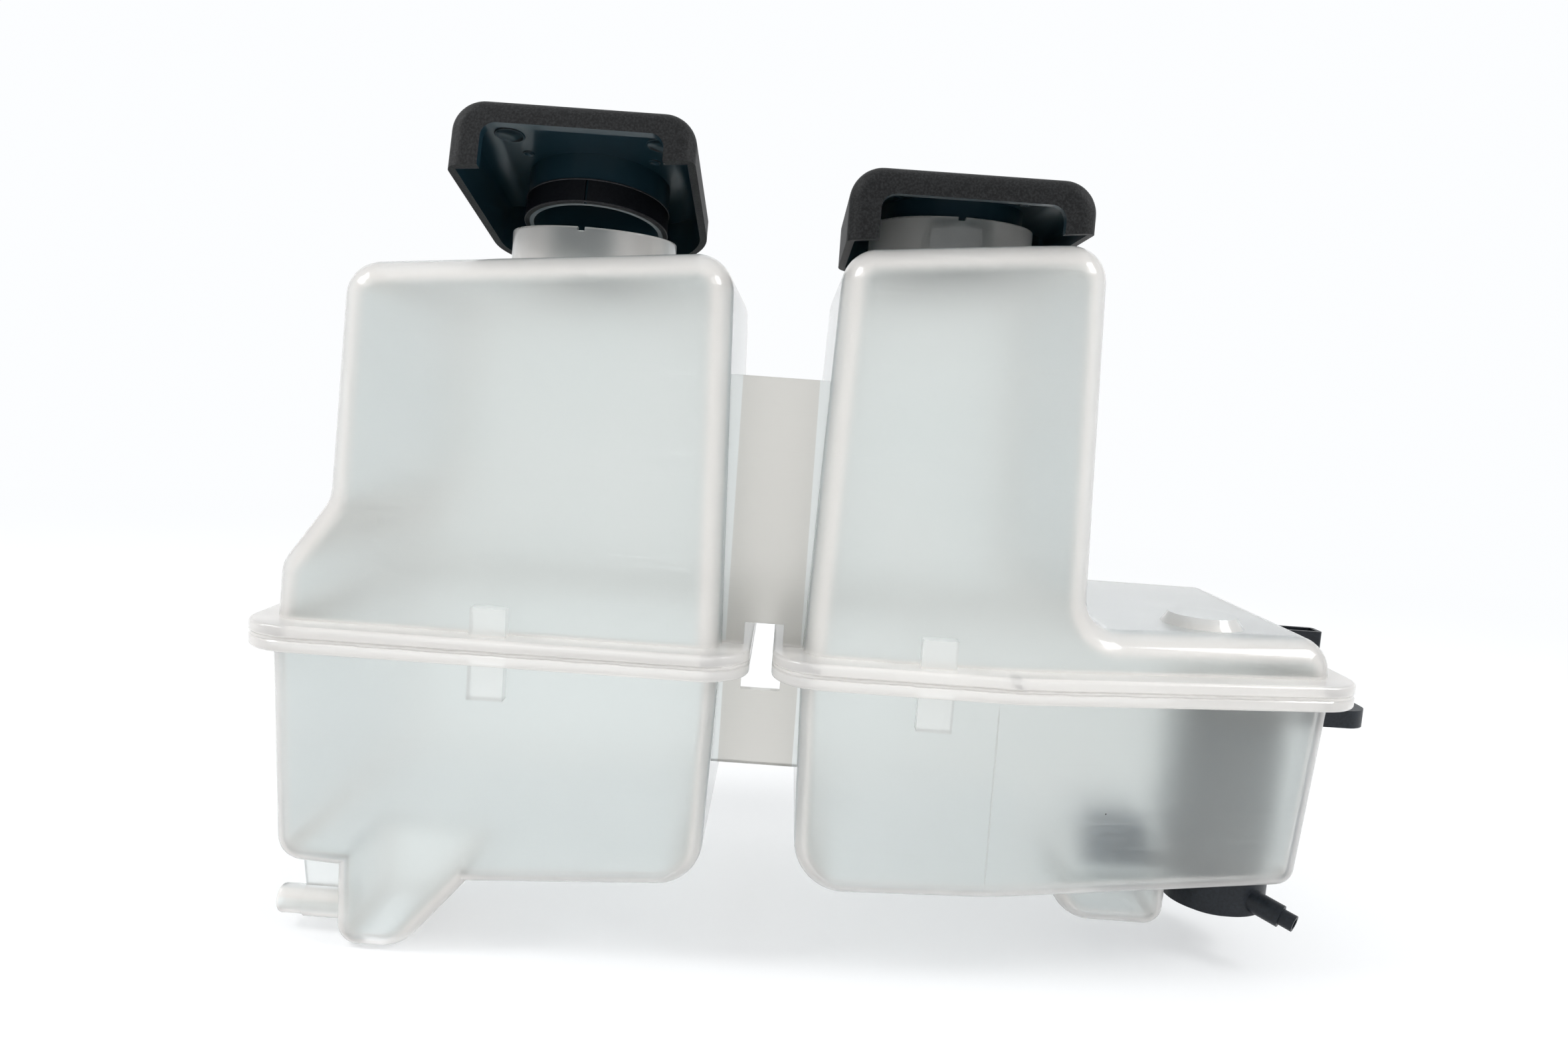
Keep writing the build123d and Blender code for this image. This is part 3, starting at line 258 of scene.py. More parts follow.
# %% [markdown]
# ## Where the wall bends and thickens
# The tank is moulded from milky polypropylene. Some light passes through its wall and the rest scatters
# back. Where a wall bends, the eye looks along it and through more plastic, and the flange is thick all
# over. Such places could be painted by hand as a mask. Here they are found from the shape itself: on a flat
# panel one part of the normal is nearly 1, on a bend none is, and the flange, the lugs and the necks are
# known by where they are.

# %% Where the wall bends and thickens
FLAT_NORMAL = 0.997
BENT_NORMAL = 0.86
SIDE_NORMAL = 0.80
FLANGE_HALF = 0.0042
EDGE_FADE = 0.0012
WALL_FRONT = -0.0130
LUG_GAP = 0.0002
LUG_SHARE = 0.45
ROOF_ABOVE_ORIGIN = 0.1242
ROOF_RISE = math.tan(math.radians(5.4))
NECK_SHARE = 0.12
ALCOVE_REACH = 0.0245
LEVEL_PART = (1.0, 1.0, 0.0)


def facing(tree, normal):
    """Shares of bend and side. A bend faces no axis, and a side faces along X or Z."""
    parts = wire(tree, "SeparateXYZ", {"Vector": normal}).outputs
    x, y, z = (maths(tree, "ABSOLUTE", part) for part in parts)
    sideways = maths(tree, "MAXIMUM", x, z)
    largest = maths(tree, "MAXIMUM", sideways, y)
    bend = ranged(tree, largest, BENT_NORMAL, FLAT_NORMAL, 1.0, 0.0)
    return bend, ranged(tree, sideways, SIDE_NORMAL, FLAT_NORMAL)


def from_axis(tree, place, axis_point):
    """Distance from an upright axis: the length of the level part of the way from a point on it."""
    away = wire(tree, "VectorMath", {0: place, 1: axis_point}, operation="SUBTRACT").outputs[0]
    level = wire(tree, "VectorMath", {0: away, 1: LEVEL_PART}, operation="MULTIPLY").outputs[0]
    return wire(tree, "VectorMath", {0: level}, operation="LENGTH").outputs["Value"]


def off_alcove(tree, place):
    """0 on the round wall of the pump's alcove, which is thin all round, and 1 elsewhere."""
    return maths(tree, "GREATER_THAN", from_axis(tree, place, PIVOTS["pump_rotor"]), ALCOVE_REACH)


def flange_share(tree, spot):
    """1 on the flange, where the plastic is thickest, and LUG_SHARE on the lugs before the wall."""
    height = maths(tree, "ABSOLUTE", spot["Z"])
    flange = ranged(tree, height, FLANGE_HALF, FLANGE_HALF + EDGE_FADE, 1.0, 0.0)
    lug = ranged(tree, spot["Y"], WALL_FRONT - EDGE_FADE, WALL_FRONT - LUG_GAP, LUG_SHARE, 0.0)
    return maths(tree, "MAXIMUM", flange, lug)


def neck_share(tree, spot):
    """NECK_SHARE on the worn necks above the sloping roof, and 0 below it."""
    above_slope = maths(tree, "SUBTRACT", spot["Z"], maths(tree, "MULTIPLY", spot["X"], ROOF_RISE))
    return ranged(tree, above_slope, ROOF_ABOVE_ORIGIN, ROOF_ABOVE_ORIGIN + EDGE_FADE, 0.0, NECK_SHARE)


print("the pump's alcove is found about", tuple(PIVOTS["pump_rotor"]))

# %% [markdown]
# ## Dust and scratches
# Years under a bonnet leave fine level scratches and a few dark specks on the wall. An image could hold
# them, but it would need unwrapping and would blur close up. So they are patterns in space: stretched noise
# for the scratches, and the middles of a few Voronoi cells for the specks.

# %% Dust and scratches
SCRATCH_SCALE = (14.0, 14.0, 2400.0)
SCRATCH_DETAIL = 2.0
SCRATCH_CUT = (0.58, 0.74)
SPECK_CELLS = 46.0
SPECK_REACH = 0.011
SPECK_RARITY = 0.86


def scratches(tree, place):
    """Fine level lines: noise that changes quickly along Z and slowly across, cut to its highest part."""
    pulled = wire(tree, "Mapping", {"Vector": place, "Scale": SCRATCH_SCALE}).outputs[0]
    noise = wire(tree, "TexNoise", {"Vector": pulled, "Scale": 1.0, "Detail": SCRATCH_DETAIL})
    return ranged(tree, noise.outputs["Fac"], *SCRATCH_CUT)


def specks(tree, place):
    """A few dark specks: near enough to the middle of a cell, in the few cells with a high random value."""
    cells = wire(tree, "TexVoronoi", {"Vector": place, "Scale": SPECK_CELLS}).outputs
    middle = maths(tree, "LESS_THAN", cells["Distance"], SPECK_REACH)
    chance = wire(tree, "SeparateXYZ", {"Vector": cells["Color"]}).outputs[0]
    return maths(tree, "MULTIPLY", middle, maths(tree, "GREATER_THAN", chance, SPECK_RARITY))


print("scratches at", SCRATCH_SCALE, "and specks at", SPECK_CELLS, "cells per metre")

# %% [markdown]
# ## Milky plastic
# Dark things behind the milky wall show as soft shadows. A volume that scatters light would be nearest to
# the real plastic, but it is slow and full of grain in thin walls. A rough transmission with a low index
# gives such soft shadows too, and its weight and colour follow the shares found above: bends and the flange
# are whiter and warmer than the flat panels. A clear coat gives the moulded skin its gloss.

# %% Milky plastic
PANEL = (0.845, 0.872, 0.860, 1.0)
PANEL_PALE = (0.865, 0.883, 0.870, 1.0)
# Painted light: a paler colour for the walls below the weld, strongest under the coolant chamber, where the
# flange and the shadowed floor keep light from them.
PANEL_LOW_PAINTED_LIGHT = (0.90, 0.926, 0.916, 1.0)
# Painted light: faces that look sideways, up or down are painted paler than the front panels.
SIDE_PAINTED_LIGHT = (0.915, 0.945, 0.945, 1.0)
BEND = (0.89, 0.866, 0.84, 1.0)
THICK = (0.93, 0.908, 0.882, 1.0)
# Painted shade: a darker, warmer colour on the web between the chambers, where shade falls.
WEB_PAINTED_SHADE = (0.71, 0.695, 0.655, 1.0)
SPECK = (0.05, 0.045, 0.04, 1.0)
SEE_THROUGH_PANEL = 0.95
SEE_THROUGH_SIDE = 0.96
SEE_THROUGH_BEND = 0.68
SEE_THROUGH_THICK = 0.52
SCRATCH_VEIL = 0.12
# Half the width of the band of painted shade on the web.
SHADED_WEB_HALF = 0.0115
# Where the painted light on the lower walls fades out, along X.
LOW_LIGHT_FADE = (0.0, 0.09)
CLOUD_SCALE = 22.0
CLOUD_DETAIL = 3.0
CLOUD_TONES = (0.3, 0.7)
MILKY_ROUGHNESS = (0.47, 0.53)
MILKY_INDEX = 1.2
SKIN_GLOSS = 0.9
SKIN_ROUGHNESS = 0.09


def panel_colour(tree, spot, side, cloud):
    """Cloudy panels: painted light low in the coolant chamber and on the sides, painted shade on the web."""
    below = maths(tree, "LESS_THAN", spot["Z"], 0.0)
    # Painted light on the lower walls: full under the coolant chamber, fading out across the washer chamber.
    low = maths(tree, "MULTIPLY", below, ranged(tree, spot["X"], *LOW_LIGHT_FADE, 1.0, 0.0))
    panel = mixed(tree, ranged(tree, cloud, *CLOUD_TONES), PANEL, PANEL_PALE)
    # Faces that look sideways, up or down take the paler colour of painted light.
    panel = mixed(tree, side, mixed(tree, low, panel, PANEL_LOW_PAINTED_LIGHT), SIDE_PAINTED_LIGHT)
    # Painted shade on the web between the chambers.
    return mixed(tree, maths(tree, "LESS_THAN", maths(tree, "ABSOLUTE", spot["X"]), SHADED_WEB_HALF), panel, WEB_PAINTED_SHADE)


def see_through(tree, side, bend, thick, scratch):
    """Most on panels and sides, less on bends, least where it is thick, and less again under scratches."""
    through = ranged(tree, side, 0.0, 1.0, SEE_THROUGH_PANEL, SEE_THROUGH_SIDE)
    through = between(tree, bend, through, SEE_THROUGH_BEND)
    through = between(tree, thick, through, SEE_THROUGH_THICK)
    return maths(tree, "SUBTRACT", through, maths(tree, "MULTIPLY", scratch, SCRATCH_VEIL))


def milky_plastic():
    """Colour and see-through part follow bend, side and thickness. A speck covers both."""
    finish, tree, shader, coords = new_finish("milky_plastic")
    place = coords["Object"]
    spot = wire(tree, "SeparateXYZ", {"Vector": place}).outputs
    bend, side = facing(tree, coords["Normal"])
    bend = maths(tree, "MULTIPLY", bend, off_alcove(tree, place))
    thick = maths(tree, "MAXIMUM", flange_share(tree, spot), neck_share(tree, spot))
    clouds = wire(tree, "TexNoise", {"Vector": place, "Scale": CLOUD_SCALE, "Detail": CLOUD_DETAIL})
    cloud = clouds.outputs["Fac"]
    dust = specks(tree, place)
    colour = mixed(tree, bend, panel_colour(tree, spot, side, cloud), BEND)
    through = see_through(tree, side, bend, thick, scratches(tree, place))
    fill(shader, {
        "Base Color": mixed(tree, dust, mixed(tree, thick, colour, THICK), SPECK),
        "Transmission Weight": maths(tree, "MULTIPLY", through, maths(tree, "SUBTRACT", 1.0, dust)),
        "Roughness": ranged(tree, cloud, *CLOUD_TONES, *MILKY_ROUGHNESS),
        "IOR": MILKY_INDEX,
        "Coat Weight": SKIN_GLOSS,
        "Coat Roughness": SKIN_ROUGHNESS,
    })
    return finish


MILKY = milky_plastic()
print("milky plastic of", len(MILKY.node_tree.nodes), "shader nodes")

# %% [markdown]
# ## Lid plastic
# The lids are black, grained on the outside and smooth inside. Two materials on chosen faces would do it,
# but the solids stay as they are, so one material finds the inside by itself. It is worked out for each lid,
# because a lid at rest stands a little open, and the lower limit of its hinge says how far.

# %% Lid plastic
SWINGS = {joint["child"]: -math.radians(joint["range_deg"][0])
          for joint in frame["joints"] if "range_deg" in joint}
HOOD_MIDDLE = Vector((0.0, -0.065, -0.002))
HINGE_BEHIND_NECK = 0.061
SKIRT_REACH = 0.0255
CEILING = 0.0113
CEILING_SLACK = 0.0003
GRAIN_DETAIL = 4.0
GRAIN_ROUGHNESS = 0.6
LID_GRAIN = 1500.0
LID_BUMP = 0.55
LID_BUMP_DEPTH = 0.00025
LID_TONES = (0.35, 0.7)
LID_DARK = (0.006, 0.0062, 0.0066, 1.0)
LID_PALE = (0.019, 0.0198, 0.0206, 1.0)
# Painted reflection: the bluish tone inside the lids stands in for the pale cyan tank reflected there.
LID_INSIDE_REFLECTION = (0.009, 0.025, 0.035, 1.0)
LID_ROUGHNESS = (0.52, 0.32)
LID_INNER_COAT = 0.5
LID_COAT_ROUGHNESS = 0.16
LID_SPECULAR = 0.14


def grained(tree, place, scale, strength, depth):
    """The height of a fine grain, from noise, and the normal of the surface that it makes."""
    noise = {"Vector": place, "Scale": scale, "Detail": GRAIN_DETAIL, "Roughness": GRAIN_ROUGHNESS}
    grain = wire(tree, "TexNoise", noise).outputs["Fac"]
    bump = wire(tree, "Bump", {"Height": grain, "Strength": strength, "Distance": depth})
    return grain, bump.outputs[0]


def inside_share(tree, coords, hinge, swing):
    """1 inside the hood and on its skirt, and 0 outside.

    A face is inside if its normal points towards the middle of the hood, which is the sign of a dot
    product. The skirt is what lies within its radius of the neck's axis and below the ceiling.
    """
    place = coords["Object"]
    middle = hinge + Matrix.Rotation(-swing, 3, "X") @ HOOD_MIDDLE
    away = wire(tree, "VectorMath", {0: place, 1: middle}, operation="SUBTRACT").outputs[0]
    outward = wire(tree, "VectorMath", {0: away, 1: coords["Normal"]}, operation="DOT_PRODUCT")
    hood = maths(tree, "LESS_THAN", outward.outputs["Value"], 0.0)
    closed = wire(tree, "Mapping", {"Vector": place, "Location": hinge, "Rotation": (-swing, 0.0, 0.0)},
                  vector_type="TEXTURE").outputs[0]
    reach = from_axis(tree, closed, (0.0, -HINGE_BEHIND_NECK, 0.0))
    height = wire(tree, "SeparateXYZ", {"Vector": closed}).outputs["Z"]
    skirt = maths(tree, "MULTIPLY", maths(tree, "LESS_THAN", reach, SKIRT_REACH),
                  maths(tree, "LESS_THAN", height, CEILING + CEILING_SLACK))
    return maths(tree, "MAXIMUM", hood, skirt)


def lid_plastic(lid):
    """Grained neutral black outside, smooth with a thin gloss inside, where a painted reflection turns it
    bluish.
    """
    finish, tree, shader, coords = new_finish(lid + "_plastic")
    inside = inside_share(tree, coords, PIVOTS[lid], SWINGS[lid])
    grain, bumped = grained(tree, coords["Object"], LID_GRAIN, LID_BUMP, LID_BUMP_DEPTH)
    outer = mixed(tree, ranged(tree, grain, *LID_TONES), LID_DARK, LID_PALE)
    smooth = wire(tree, "NewGeometry").outputs["Normal"]
    fill(shader, {
        "Base Color": mixed(tree, inside, outer, LID_INSIDE_REFLECTION),
        "Roughness": ranged(tree, inside, 0.0, 1.0, *LID_ROUGHNESS),
        "Normal": mixed(tree, inside, bumped, smooth, "VECTOR"),
        "Coat Weight": ranged(tree, inside, 0.0, 1.0, 0.0, LID_INNER_COAT),
        "Coat Roughness": LID_COAT_ROUGHNESS,
        "Specular IOR Level": LID_SPECULAR,
    })
    return finish


LID_FINISHES = {lid: lid_plastic(lid) for lid in SWINGS}
print("lids open by", {lid: round(math.degrees(swing), 1) for lid, swing in SWINGS.items()}, "degrees")

# %% [markdown]
# ## Black plastics and rubber
# The pump is smooth satin black. Its housing and the strainer are seen through the milky wall, and their
# black is painted lighter and bluer: painted light for the milky light the wall lays over them. The seals
# are dull rubber. Their lips are paler, partly from wear and partly as a painted highlight for the thin line
# of light along each lip. A plain colour would look like paint, so each tone varies a little with a fine
# grain.

# %% Black plastics and rubber
TONE_RANGE = (0.3, 0.7)
ROUGHNESS_SPREAD = 0.06
BUMP_DEPTH = 0.0001


def grained_finish(name, dark, pale, grain, roughness, bump=0.2, metallic=0.0, specular=0.3):
    """A colour between a dark and a pale one by the height of a light grain, which also varies the gloss."""
    finish, tree, shader, coords = new_finish(name)
    height, bumped = grained(tree, coords["Object"], grain, bump, BUMP_DEPTH)
    gloss = (roughness - ROUGHNESS_SPREAD, roughness + ROUGHNESS_SPREAD)
    fill(shader, {
        "Base Color": mixed(tree, ranged(tree, height, *TONE_RANGE), (*dark, 1.0), (*pale, 1.0)),
        "Roughness": ranged(tree, height, *TONE_RANGE, *gloss),
        "Normal": bumped,
        "Metallic": metallic,
        "Specular IOR Level": specular,
    })
    return finish


PUMP_PLASTIC = grained_finish("pump_plastic", (0.004, 0.006, 0.009), (0.010, 0.014, 0.020),
                              grain=900.0, roughness=0.42)
# Painted light: the housing and the strainer are painted lighter and bluer than black, for the milky light
# of the wall in front of them.
HOUSING_PAINTED_LIGHT = grained_finish("housing_plastic", (0.026, 0.042, 0.060), (0.038, 0.060, 0.084),
                                 grain=900.0, roughness=0.42)
STRAINER_PAINTED_LIGHT = grained_finish("strainer_plastic", (0.046, 0.084, 0.120), (0.066, 0.112, 0.156),
                                  grain=700.0, roughness=0.5)
SEAL_RUBBER = grained_finish("seal_rubber", (0.003, 0.0035, 0.005), (0.006, 0.007, 0.009),
                             grain=1200.0, roughness=0.55, bump=0.1, specular=0.1)
# Partly wear and partly a painted highlight: the lips' rubber is paler, for the thin line of light along
# each lip.
WORN_SHEEN_RUBBER = grained_finish("worn_sheen_rubber", (0.014, 0.014, 0.016), (0.032, 0.032, 0.036),
                             grain=900.0, roughness=0.4)
print("three black plastics and two rubbers made")

# %% [markdown]
# ## Metals and ferrite
# Hinge pins, blades and most of the motor's inside are plain bare metals, and its magnets and brushes are
# dull and dark. Brushed streaks would suit larger faces, but these are small or hidden, so the same helper
# makes them, with the metallic value at 1 for the metals.

# %% Metals and ferrite
PIN_STEEL = grained_finish("pin_steel", (0.50, 0.51, 0.52), (0.62, 0.62, 0.63),
                           grain=500.0, roughness=0.3, bump=0.1, metallic=1.0)
CAN_STEEL = grained_finish("can_steel", (0.40, 0.41, 0.42), (0.52, 0.52, 0.53),
                           grain=400.0, roughness=0.38, bump=0.1, metallic=1.0)
FERRITE = grained_finish("ferrite", (0.05, 0.05, 0.055), (0.09, 0.09, 0.095),
                         grain=900.0, roughness=0.7)
TINNED_BRASS = grained_finish("tinned_brass", (0.60, 0.46, 0.22), (0.72, 0.57, 0.30),
                              grain=400.0, roughness=0.3, bump=0.1, metallic=1.0)
SINTERED_BRONZE = grained_finish("sintered_bronze", (0.36, 0.24, 0.12), (0.50, 0.34, 0.18),
                                 grain=1500.0, roughness=0.5, metallic=1.0)
print("two steels, brass, bronze and ferrite made")

# %% [markdown]
# ## Dressing the CAD nodes
# Each CAD node keeps its mesh and takes the finish of its slot, or its own where it has one. Its triangles
# come loose, and shading them smooth as they are would show every one. So a Weld modifier joins them, an
# Edge Split keeps the real edges crisp, and weighted normals keep the panels flat between rounded edges.

# %% Dressing the CAD nodes
SMOOTH_BELOW = math.radians(32.0)
NODE_MERGE = 1e-6
BY_NODE = {"pump_housing": HOUSING_PAINTED_LIGHT, **LID_FINISHES}
BY_SLOT = {
    "milky_plastic": MILKY,
    "pump_plastic": PUMP_PLASTIC,
    "strainer_plastic": STRAINER_PAINTED_LIGHT,
    "rubber": SEAL_RUBBER,
    "pin_steel": PIN_STEEL,
    "can_steel": CAN_STEEL,
    "magnet": FERRITE,
    "brass": TINNED_BRASS,
    "bronze": SINTERED_BRONZE,
}


def smooth_node(node):
    """Smooth shading across tangent faces, crisp shading across edges."""
    mesh = node.data
    mesh.polygons.foreach_set("use_smooth", np.ones(len(mesh.polygons), bool))
    node.modifiers.new("join", "WELD").merge_threshold = NODE_MERGE
    split = node.modifiers.new("edges", "EDGE_SPLIT")
    split.split_angle = SMOOTH_BELOW
    split.use_edge_sharp = False
    node.modifiers.new("even", "WEIGHTED_NORMAL").keep_sharp = True


def dress(name, slot):
    """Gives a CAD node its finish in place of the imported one."""
    node = NODES[name]
    node.data.materials.clear()
    node.data.materials.append(BY_NODE[name] if name in BY_NODE else BY_SLOT[slot])
    smooth_node(node)


for row in frame["record"]["subparts"]:
    dress(row["node"], row["material_slot"])
print("dressed", len(NODES), "nodes")

# %% [markdown]
# ## Surfaces from grids
# Every added piece is a surface over two parameters: along it and around it. Blender's own curves and
# modifiers could make some of them, but a grid of points from a formula gives full control of each ring.
# One helper turns such a grid into a closed mesh.

# %% Surfaces from grids
POLE_MERGE = 1e-7


def grid_mesh(name, grid, body, finish, round_u=False, round_v=False):
    """A mesh of the four-sided faces of a grid of points, closed round either way if asked.

    A face joins a point, the next along, the next along and around, and the next around. Where a ring of
    the grid shrinks to one point, a Weld modifier joins its points to a closed pole.
    """
    count_u, count_v = grid.shape[:2]
    row = np.arange(count_u if round_u else count_u - 1)
    column = np.arange(count_v if round_v else count_v - 1)
    u, v = np.meshgrid(row, column, indexing="ij")
    ahead_u, ahead_v = (u + 1) % count_u, (v + 1) % count_v
    faces = np.stack([u * count_v + v, ahead_u * count_v + v, ahead_u * count_v + ahead_v,
                      u * count_v + ahead_v], axis=-1).reshape(-1, 4)
    mesh = bpy.data.meshes.new(name)
    mesh.from_pydata(grid.reshape(-1, 3).tolist(), [], faces.tolist())
    mesh.polygons.foreach_set("use_smooth", np.ones(len(faces), bool))
    mesh.materials.append(finish)
    piece = bpy.data.objects.new(name, mesh)
    scene.collection.objects.link(piece)
    piece.modifiers.new("poles", "WELD").merge_threshold = POLE_MERGE
    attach(piece, body)
    return piece


def full_turn(count):
    """Angles of evenly spaced points round a circle."""
    return np.linspace(0.0, math.tau, count, endpoint=False)


print("grids close within", POLE_MERGE, "m")

# %% [markdown]
# ## Weld bead
# The two mouldings are heated and pressed together, and a thin bead of melt squeezes out between their
# flanges. A curve with a round bevel would give an even tube. Here a grid of small rings follows the
# flange's outline, because the real bead swells and shrinks on its way, which is a sum of waves along it.

# %% Weld bead
FLANGE_CORNER = 0.016
# Nothing on the tank reaches further forward or back than the flange.
FLANGE_FRONT = cad_box[0].y
FLANGE_BACK = cad_box[1].y
COOLANT_OUTLINE = ((-0.1540, FLANGE_FRONT), (-0.0036, FLANGE_FRONT), (-0.0036, FLANGE_BACK),
                   (-0.1540, FLANGE_BACK))
WASHER_OUTLINE = ((0.0031, FLANGE_FRONT), (0.07683, FLANGE_FRONT), (0.1870, -0.00128), (0.1870, FLANGE_BACK),
                  (0.0031, FLANGE_BACK))
BEAD_OUTLINES = {"coolant_weld_bead": COOLANT_OUTLINE, "washer_weld_bead": WASHER_OUTLINE}
BEAD_RADIUS = 0.00085
BEAD_INSET = 0.00106
BEAD_RING = 12
# Each wave has a height, a rate along the way and a start. Swells are shares of the radius.
BEAD_SWELLS = ((0.07, 37, 0.0), (0.06, 83, 1.0), (0.05, 171, 0.0))
BEAD_RISES = ((0.00010, 29, 0.5), (0.00006, 67, 0.0))


def rounded_outline(corners, radius, per_arc=12, per_run=150):
    """Points and outward normals along a closed outline with rounded corners.

    At a corner where the outline turns by an angle, the arc starts radius * tan(angle / 2) before it.
    The arc's middle lies radius to the left of that start, and the normal turns with the outline.
    """
    here = np.array(corners)
    way_in = here - np.roll(here, 1, axis=0)
    way_in /= np.linalg.norm(way_in, axis=1, keepdims=True)
    way_out = np.roll(way_in, -1, axis=0)
    cross = way_in[:, 0] * way_out[:, 1] - way_in[:, 1] * way_out[:, 0]
    angle = np.arctan2(cross, np.sum(way_in * way_out, axis=1))
    start = here - way_in * (radius * np.tan(angle / 2))[:, None]
    left = np.stack([-way_in[:, 1], way_in[:, 0]], axis=1)
    first = np.arctan2(-left[:, 1], -left[:, 0])
    sweep = first[:, None] + angle[:, None] * np.linspace(0.0, 1.0, per_arc)
    arc_normal = np.stack([np.cos(sweep), np.sin(sweep)], axis=2)
    arc = (start + left * radius)[:, None] + radius * arc_normal
    share = np.linspace(0.0, 1.0, per_run + 2)[1:-1, None]
    run = arc[:, -1, None] * (1 - share) + np.roll(arc[:, 0], -1, axis=0)[:, None] * share
    run_normal = np.repeat(arc_normal[:, -1, None], per_run, axis=1)
    points = np.concatenate([arc, run], axis=1).reshape(-1, 2)
    return points, np.concatenate([arc_normal, run_normal], axis=1).reshape(-1, 2)


def waves(way, rows):
    """A sum of sine waves: each row's height times the sine of rate * way + start."""
    height, rate, start = np.array(rows).T[..., None]
    return np.sum(height * np.sin(rate * way + start), axis=0)


def weld_bead(name, corners):
    """Rings of a radius that varies as a sum of waves, set in from the outline and level with the weld."""
    points, normals = rounded_outline(corners, FLANGE_CORNER)
    step = np.linalg.norm(np.diff(points, axis=0, append=points[:1]), axis=1)
    way = np.cumsum(step) / step.sum() * math.tau
    radius = BEAD_RADIUS * (1 + waves(way, BEAD_SWELLS))[:, None]
    turn = full_turn(BEAD_RING)
    centre = points - normals * BEAD_INSET
    flat = centre[:, None] + normals[:, None] * (radius * np.cos(turn))[..., None]
    height = waves(way, BEAD_RISES)[:, None] + radius * np.sin(turn)
    grid = np.concatenate([flat, height[..., None]], axis=2)
    return grid_mesh(name, grid, "tank", MILKY, True, True)


for bead_name, outline in BEAD_OUTLINES.items():
    bead = weld_bead(bead_name, outline)
    print(bead.name, "with", len(bead.data.polygons), "faces")

# %% [markdown]
# ## Mould line
# Where the washer chamber's front wall starts to turn back, two blocks of the mould met and left a fine
# raised line. It could be a groove in the material, but a real line catches the light on one side, so it
# is a thin ridge of round section, half sunk in the wall, that tapers off at both ends.

# %% Mould line
LINE_TOP = (0.0716, -0.0062)
LINE_FOOT = (0.0724, -0.0655)
LINE_HALF_WIDTH = 0.00022
LINE_HEIGHT = 0.00014
LINE_POINTS = 60
LINE_RING = 10
LINE_TAPER = 12.0
LINE_RIPPLES = ((0.15, 40, 0.0),)
WALL_LEAN = math.tan(math.radians(1.8))


def mould_line():
    """Rings along a straight line on the leaning wall: their size falls to nothing at both ends.

    The rings are read backwards, so that the faces point outwards.
    """
    share = np.linspace(0.0, 1.0, LINE_POINTS)
    x, z = np.linspace(LINE_TOP, LINE_FOOT, LINE_POINTS).T
    y = WALL_FRONT - z * WALL_LEAN
    taper = np.minimum(1.0, LINE_TAPER * np.minimum(share, 1 - share))
    size = (taper * (1 + waves(share, LINE_RIPPLES)))[:, None]
    turn = full_turn(LINE_RING)
    across = x[:, None] + LINE_HALF_WIDTH * size * np.cos(turn)
    out = y[:, None] - LINE_HEIGHT * size * np.sin(turn)
    grid = np.stack([across, out, np.repeat(z[:, None], LINE_RING, axis=1)], axis=2)
    return grid_mesh("mould_line", grid[:, ::-1], "tank", MILKY, False, True)


line = mould_line()
print(line.name, "from", LINE_TOP, "to", LINE_FOOT, "with", len(line.data.polygons), "faces")

# %% [markdown]
# ## Turned profiles
# The small pieces inside the lids are round, like work from a lathe. A Screw modifier could turn them, but
# they also have to swing with a lid that stands a little open. So a profile is turned as a grid about an
# upright axis of the closed lid, and the grid is then swung open about the hinge.

# %% Turned profiles
def turned(profile, centre, count):
    """A profile of radius and height turned about an upright axis through the centre."""
    profile = np.asarray(profile)
    angle = full_turn(count)
    x = centre[0] + profile[:, :1] * np.cos(angle)
    y = centre[1] + profile[:, :1] * np.sin(angle)
    z = centre[2] + np.repeat(profile[:, 1:], count, axis=1)
    return np.stack([x, y, z], axis=2)


def swung(grid, lid):
    """Points drawn about a closed lid's hinge, swung open by its angle and put at its hinge.

    The new y is y * cos + z * sin of the angle, and the new z is z * cos - y * sin.
    """
    angle = SWINGS[lid]
    y = grid[..., 1] * math.cos(angle) + grid[..., 2] * math.sin(angle)
    z = grid[..., 2] * math.cos(angle) - grid[..., 1] * math.sin(angle)
    return np.stack([grid[..., 0], y, z], axis=-1) + np.array(PIVOTS[lid])


print("profiles swing about", {lid: tuple(PIVOTS[lid]) for lid in SWINGS})

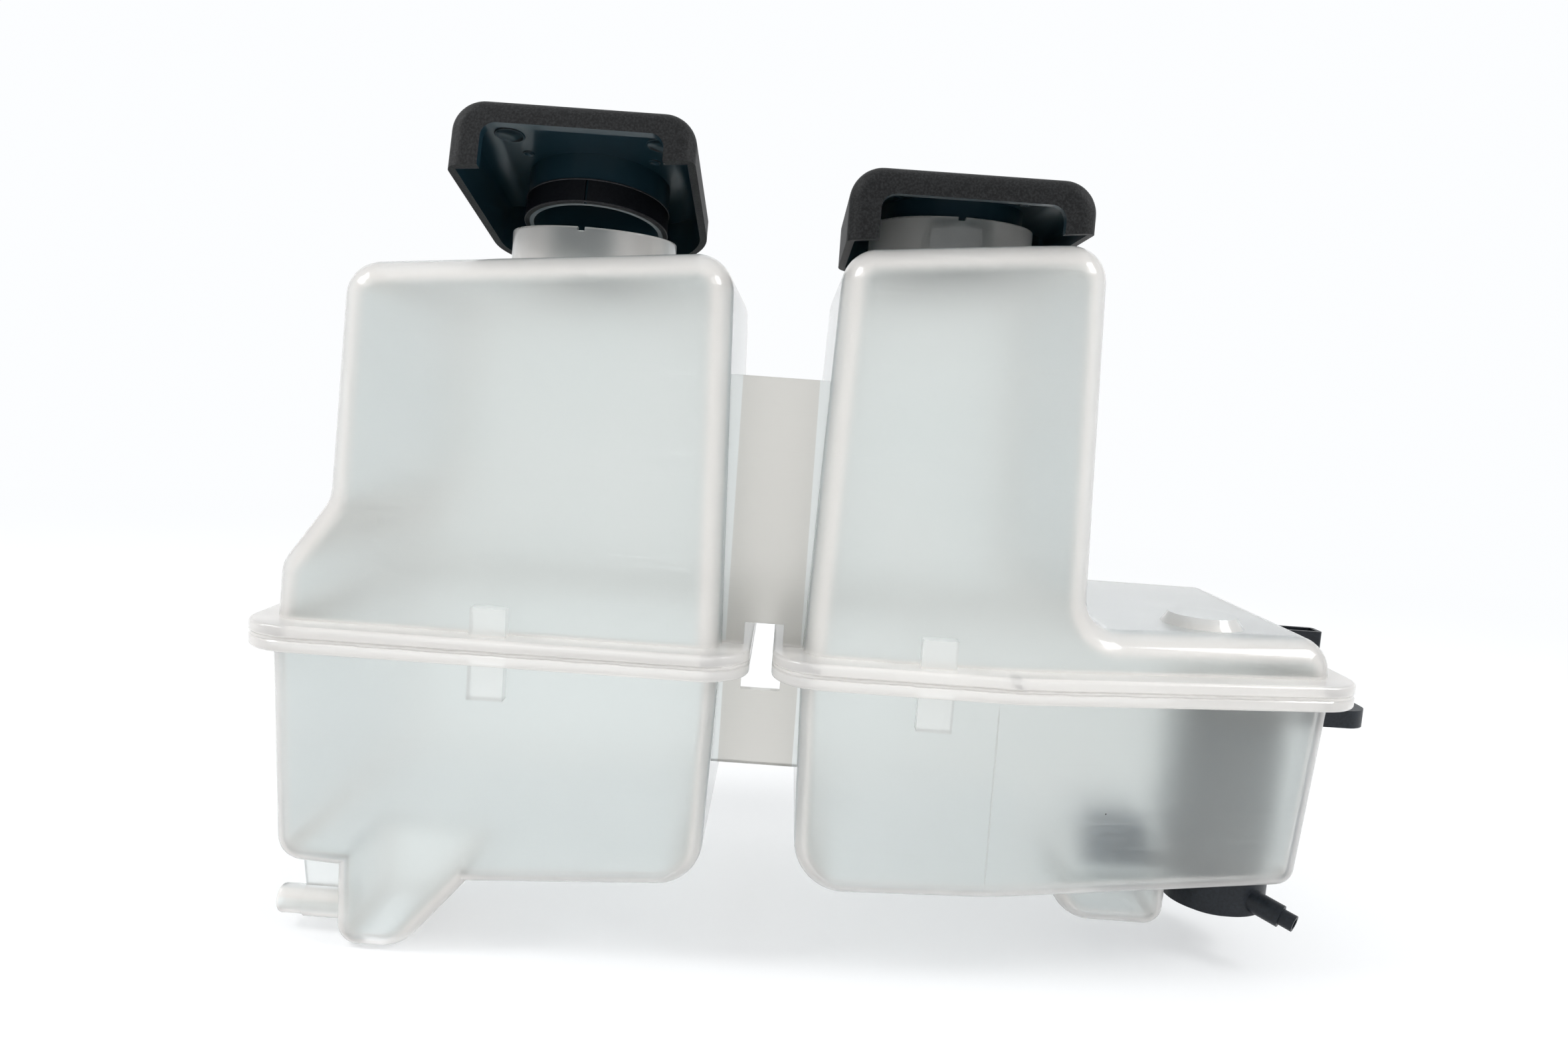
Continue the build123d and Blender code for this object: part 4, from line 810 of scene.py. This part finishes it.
# %% [markdown]
# ## Marks and lips inside the lids
# The pins that push a lid out of its mould leave round marks with a fine rim on its ceiling. A bump in the
# material would vanish from the side, so each mark is a shallow turned profile. The rubber sleeve on the
# skirt has a rounded lip at each end that catches a thin line of light. A bevel on the sleeve would change
# the solid, so each lip is a small circle turned about the neck's axis.

# %% Marks and lips inside the lids
MARK_STEPS = 40
MARK_ROOT = 0.0002
MARK_FACE = -0.0001
# Each mark has a distance to the side, a place along the lid and a radius.
MARK_PAIRS = ((0.0239, -0.0933, 0.0048), (0.0205, -0.0810, 0.0019))
MARKS = [(side * x, y, radius) for side in (-1, 1) for x, y, radius in MARK_PAIRS]
# Each point of the rim has an inset from the edge and a height.
MARK_RIM = ((0.0, -0.00022), (0.0003, -0.00034), (0.0007, -0.00022), (0.0008, MARK_FACE))
SEAL_RADIUS = 0.0239
SEAL_FOOT = -0.0054
SEAL_HEAD = 0.0026
LIP = 0.00032
LIP_INSET = 0.00012
LIP_RING = 10
LIP_STEPS = 120
LIP_HEIGHTS = {"foot": SEAL_FOOT + LIP, "head": SEAL_HEAD - LIP}


def ejector_marks(lid):
    """Shallow pads that hang from the ceiling, each from its middle over the rim and back to its middle."""
    for index, (x, y, radius) in enumerate(MARKS):
        rim = [(radius - inset, height) for inset, height in MARK_RIM]
        pad = [(0.0, MARK_ROOT), (radius, MARK_ROOT), *rim, (0.0, MARK_FACE)]
        grid = swung(turned(pad, (x, y, CEILING), MARK_STEPS), lid)
        grid_mesh(lid + "_mark_" + str(index), grid, lid, LID_FINISHES[lid], False, True)


def seal_lips(lid):
    """Two round lips at the ends of the sleeve. Their rings are read backwards, so faces point outwards."""
    angle = full_turn(LIP_RING)
    for tag, height in LIP_HEIGHTS.items():
        lip = np.stack([SEAL_RADIUS - LIP_INSET + LIP * np.cos(angle), height + LIP * np.sin(angle)], axis=1)
        grid = swung(turned(lip, (0.0, -HINGE_BEHIND_NECK, 0.0), LIP_STEPS)[:, ::-1], lid)
        # The lips take the paler rubber of wear and painted highlight.
        grid_mesh(lid + "_seal_" + tag, grid, lid, WORN_SHEEN_RUBBER, True, True)


for lid_name in SWINGS:
    ejector_marks(lid_name)
    seal_lips(lid_name)
print(len(MARKS), "marks and", len(LIP_HEIGHTS), "lips in each of", len(SWINGS), "lids")
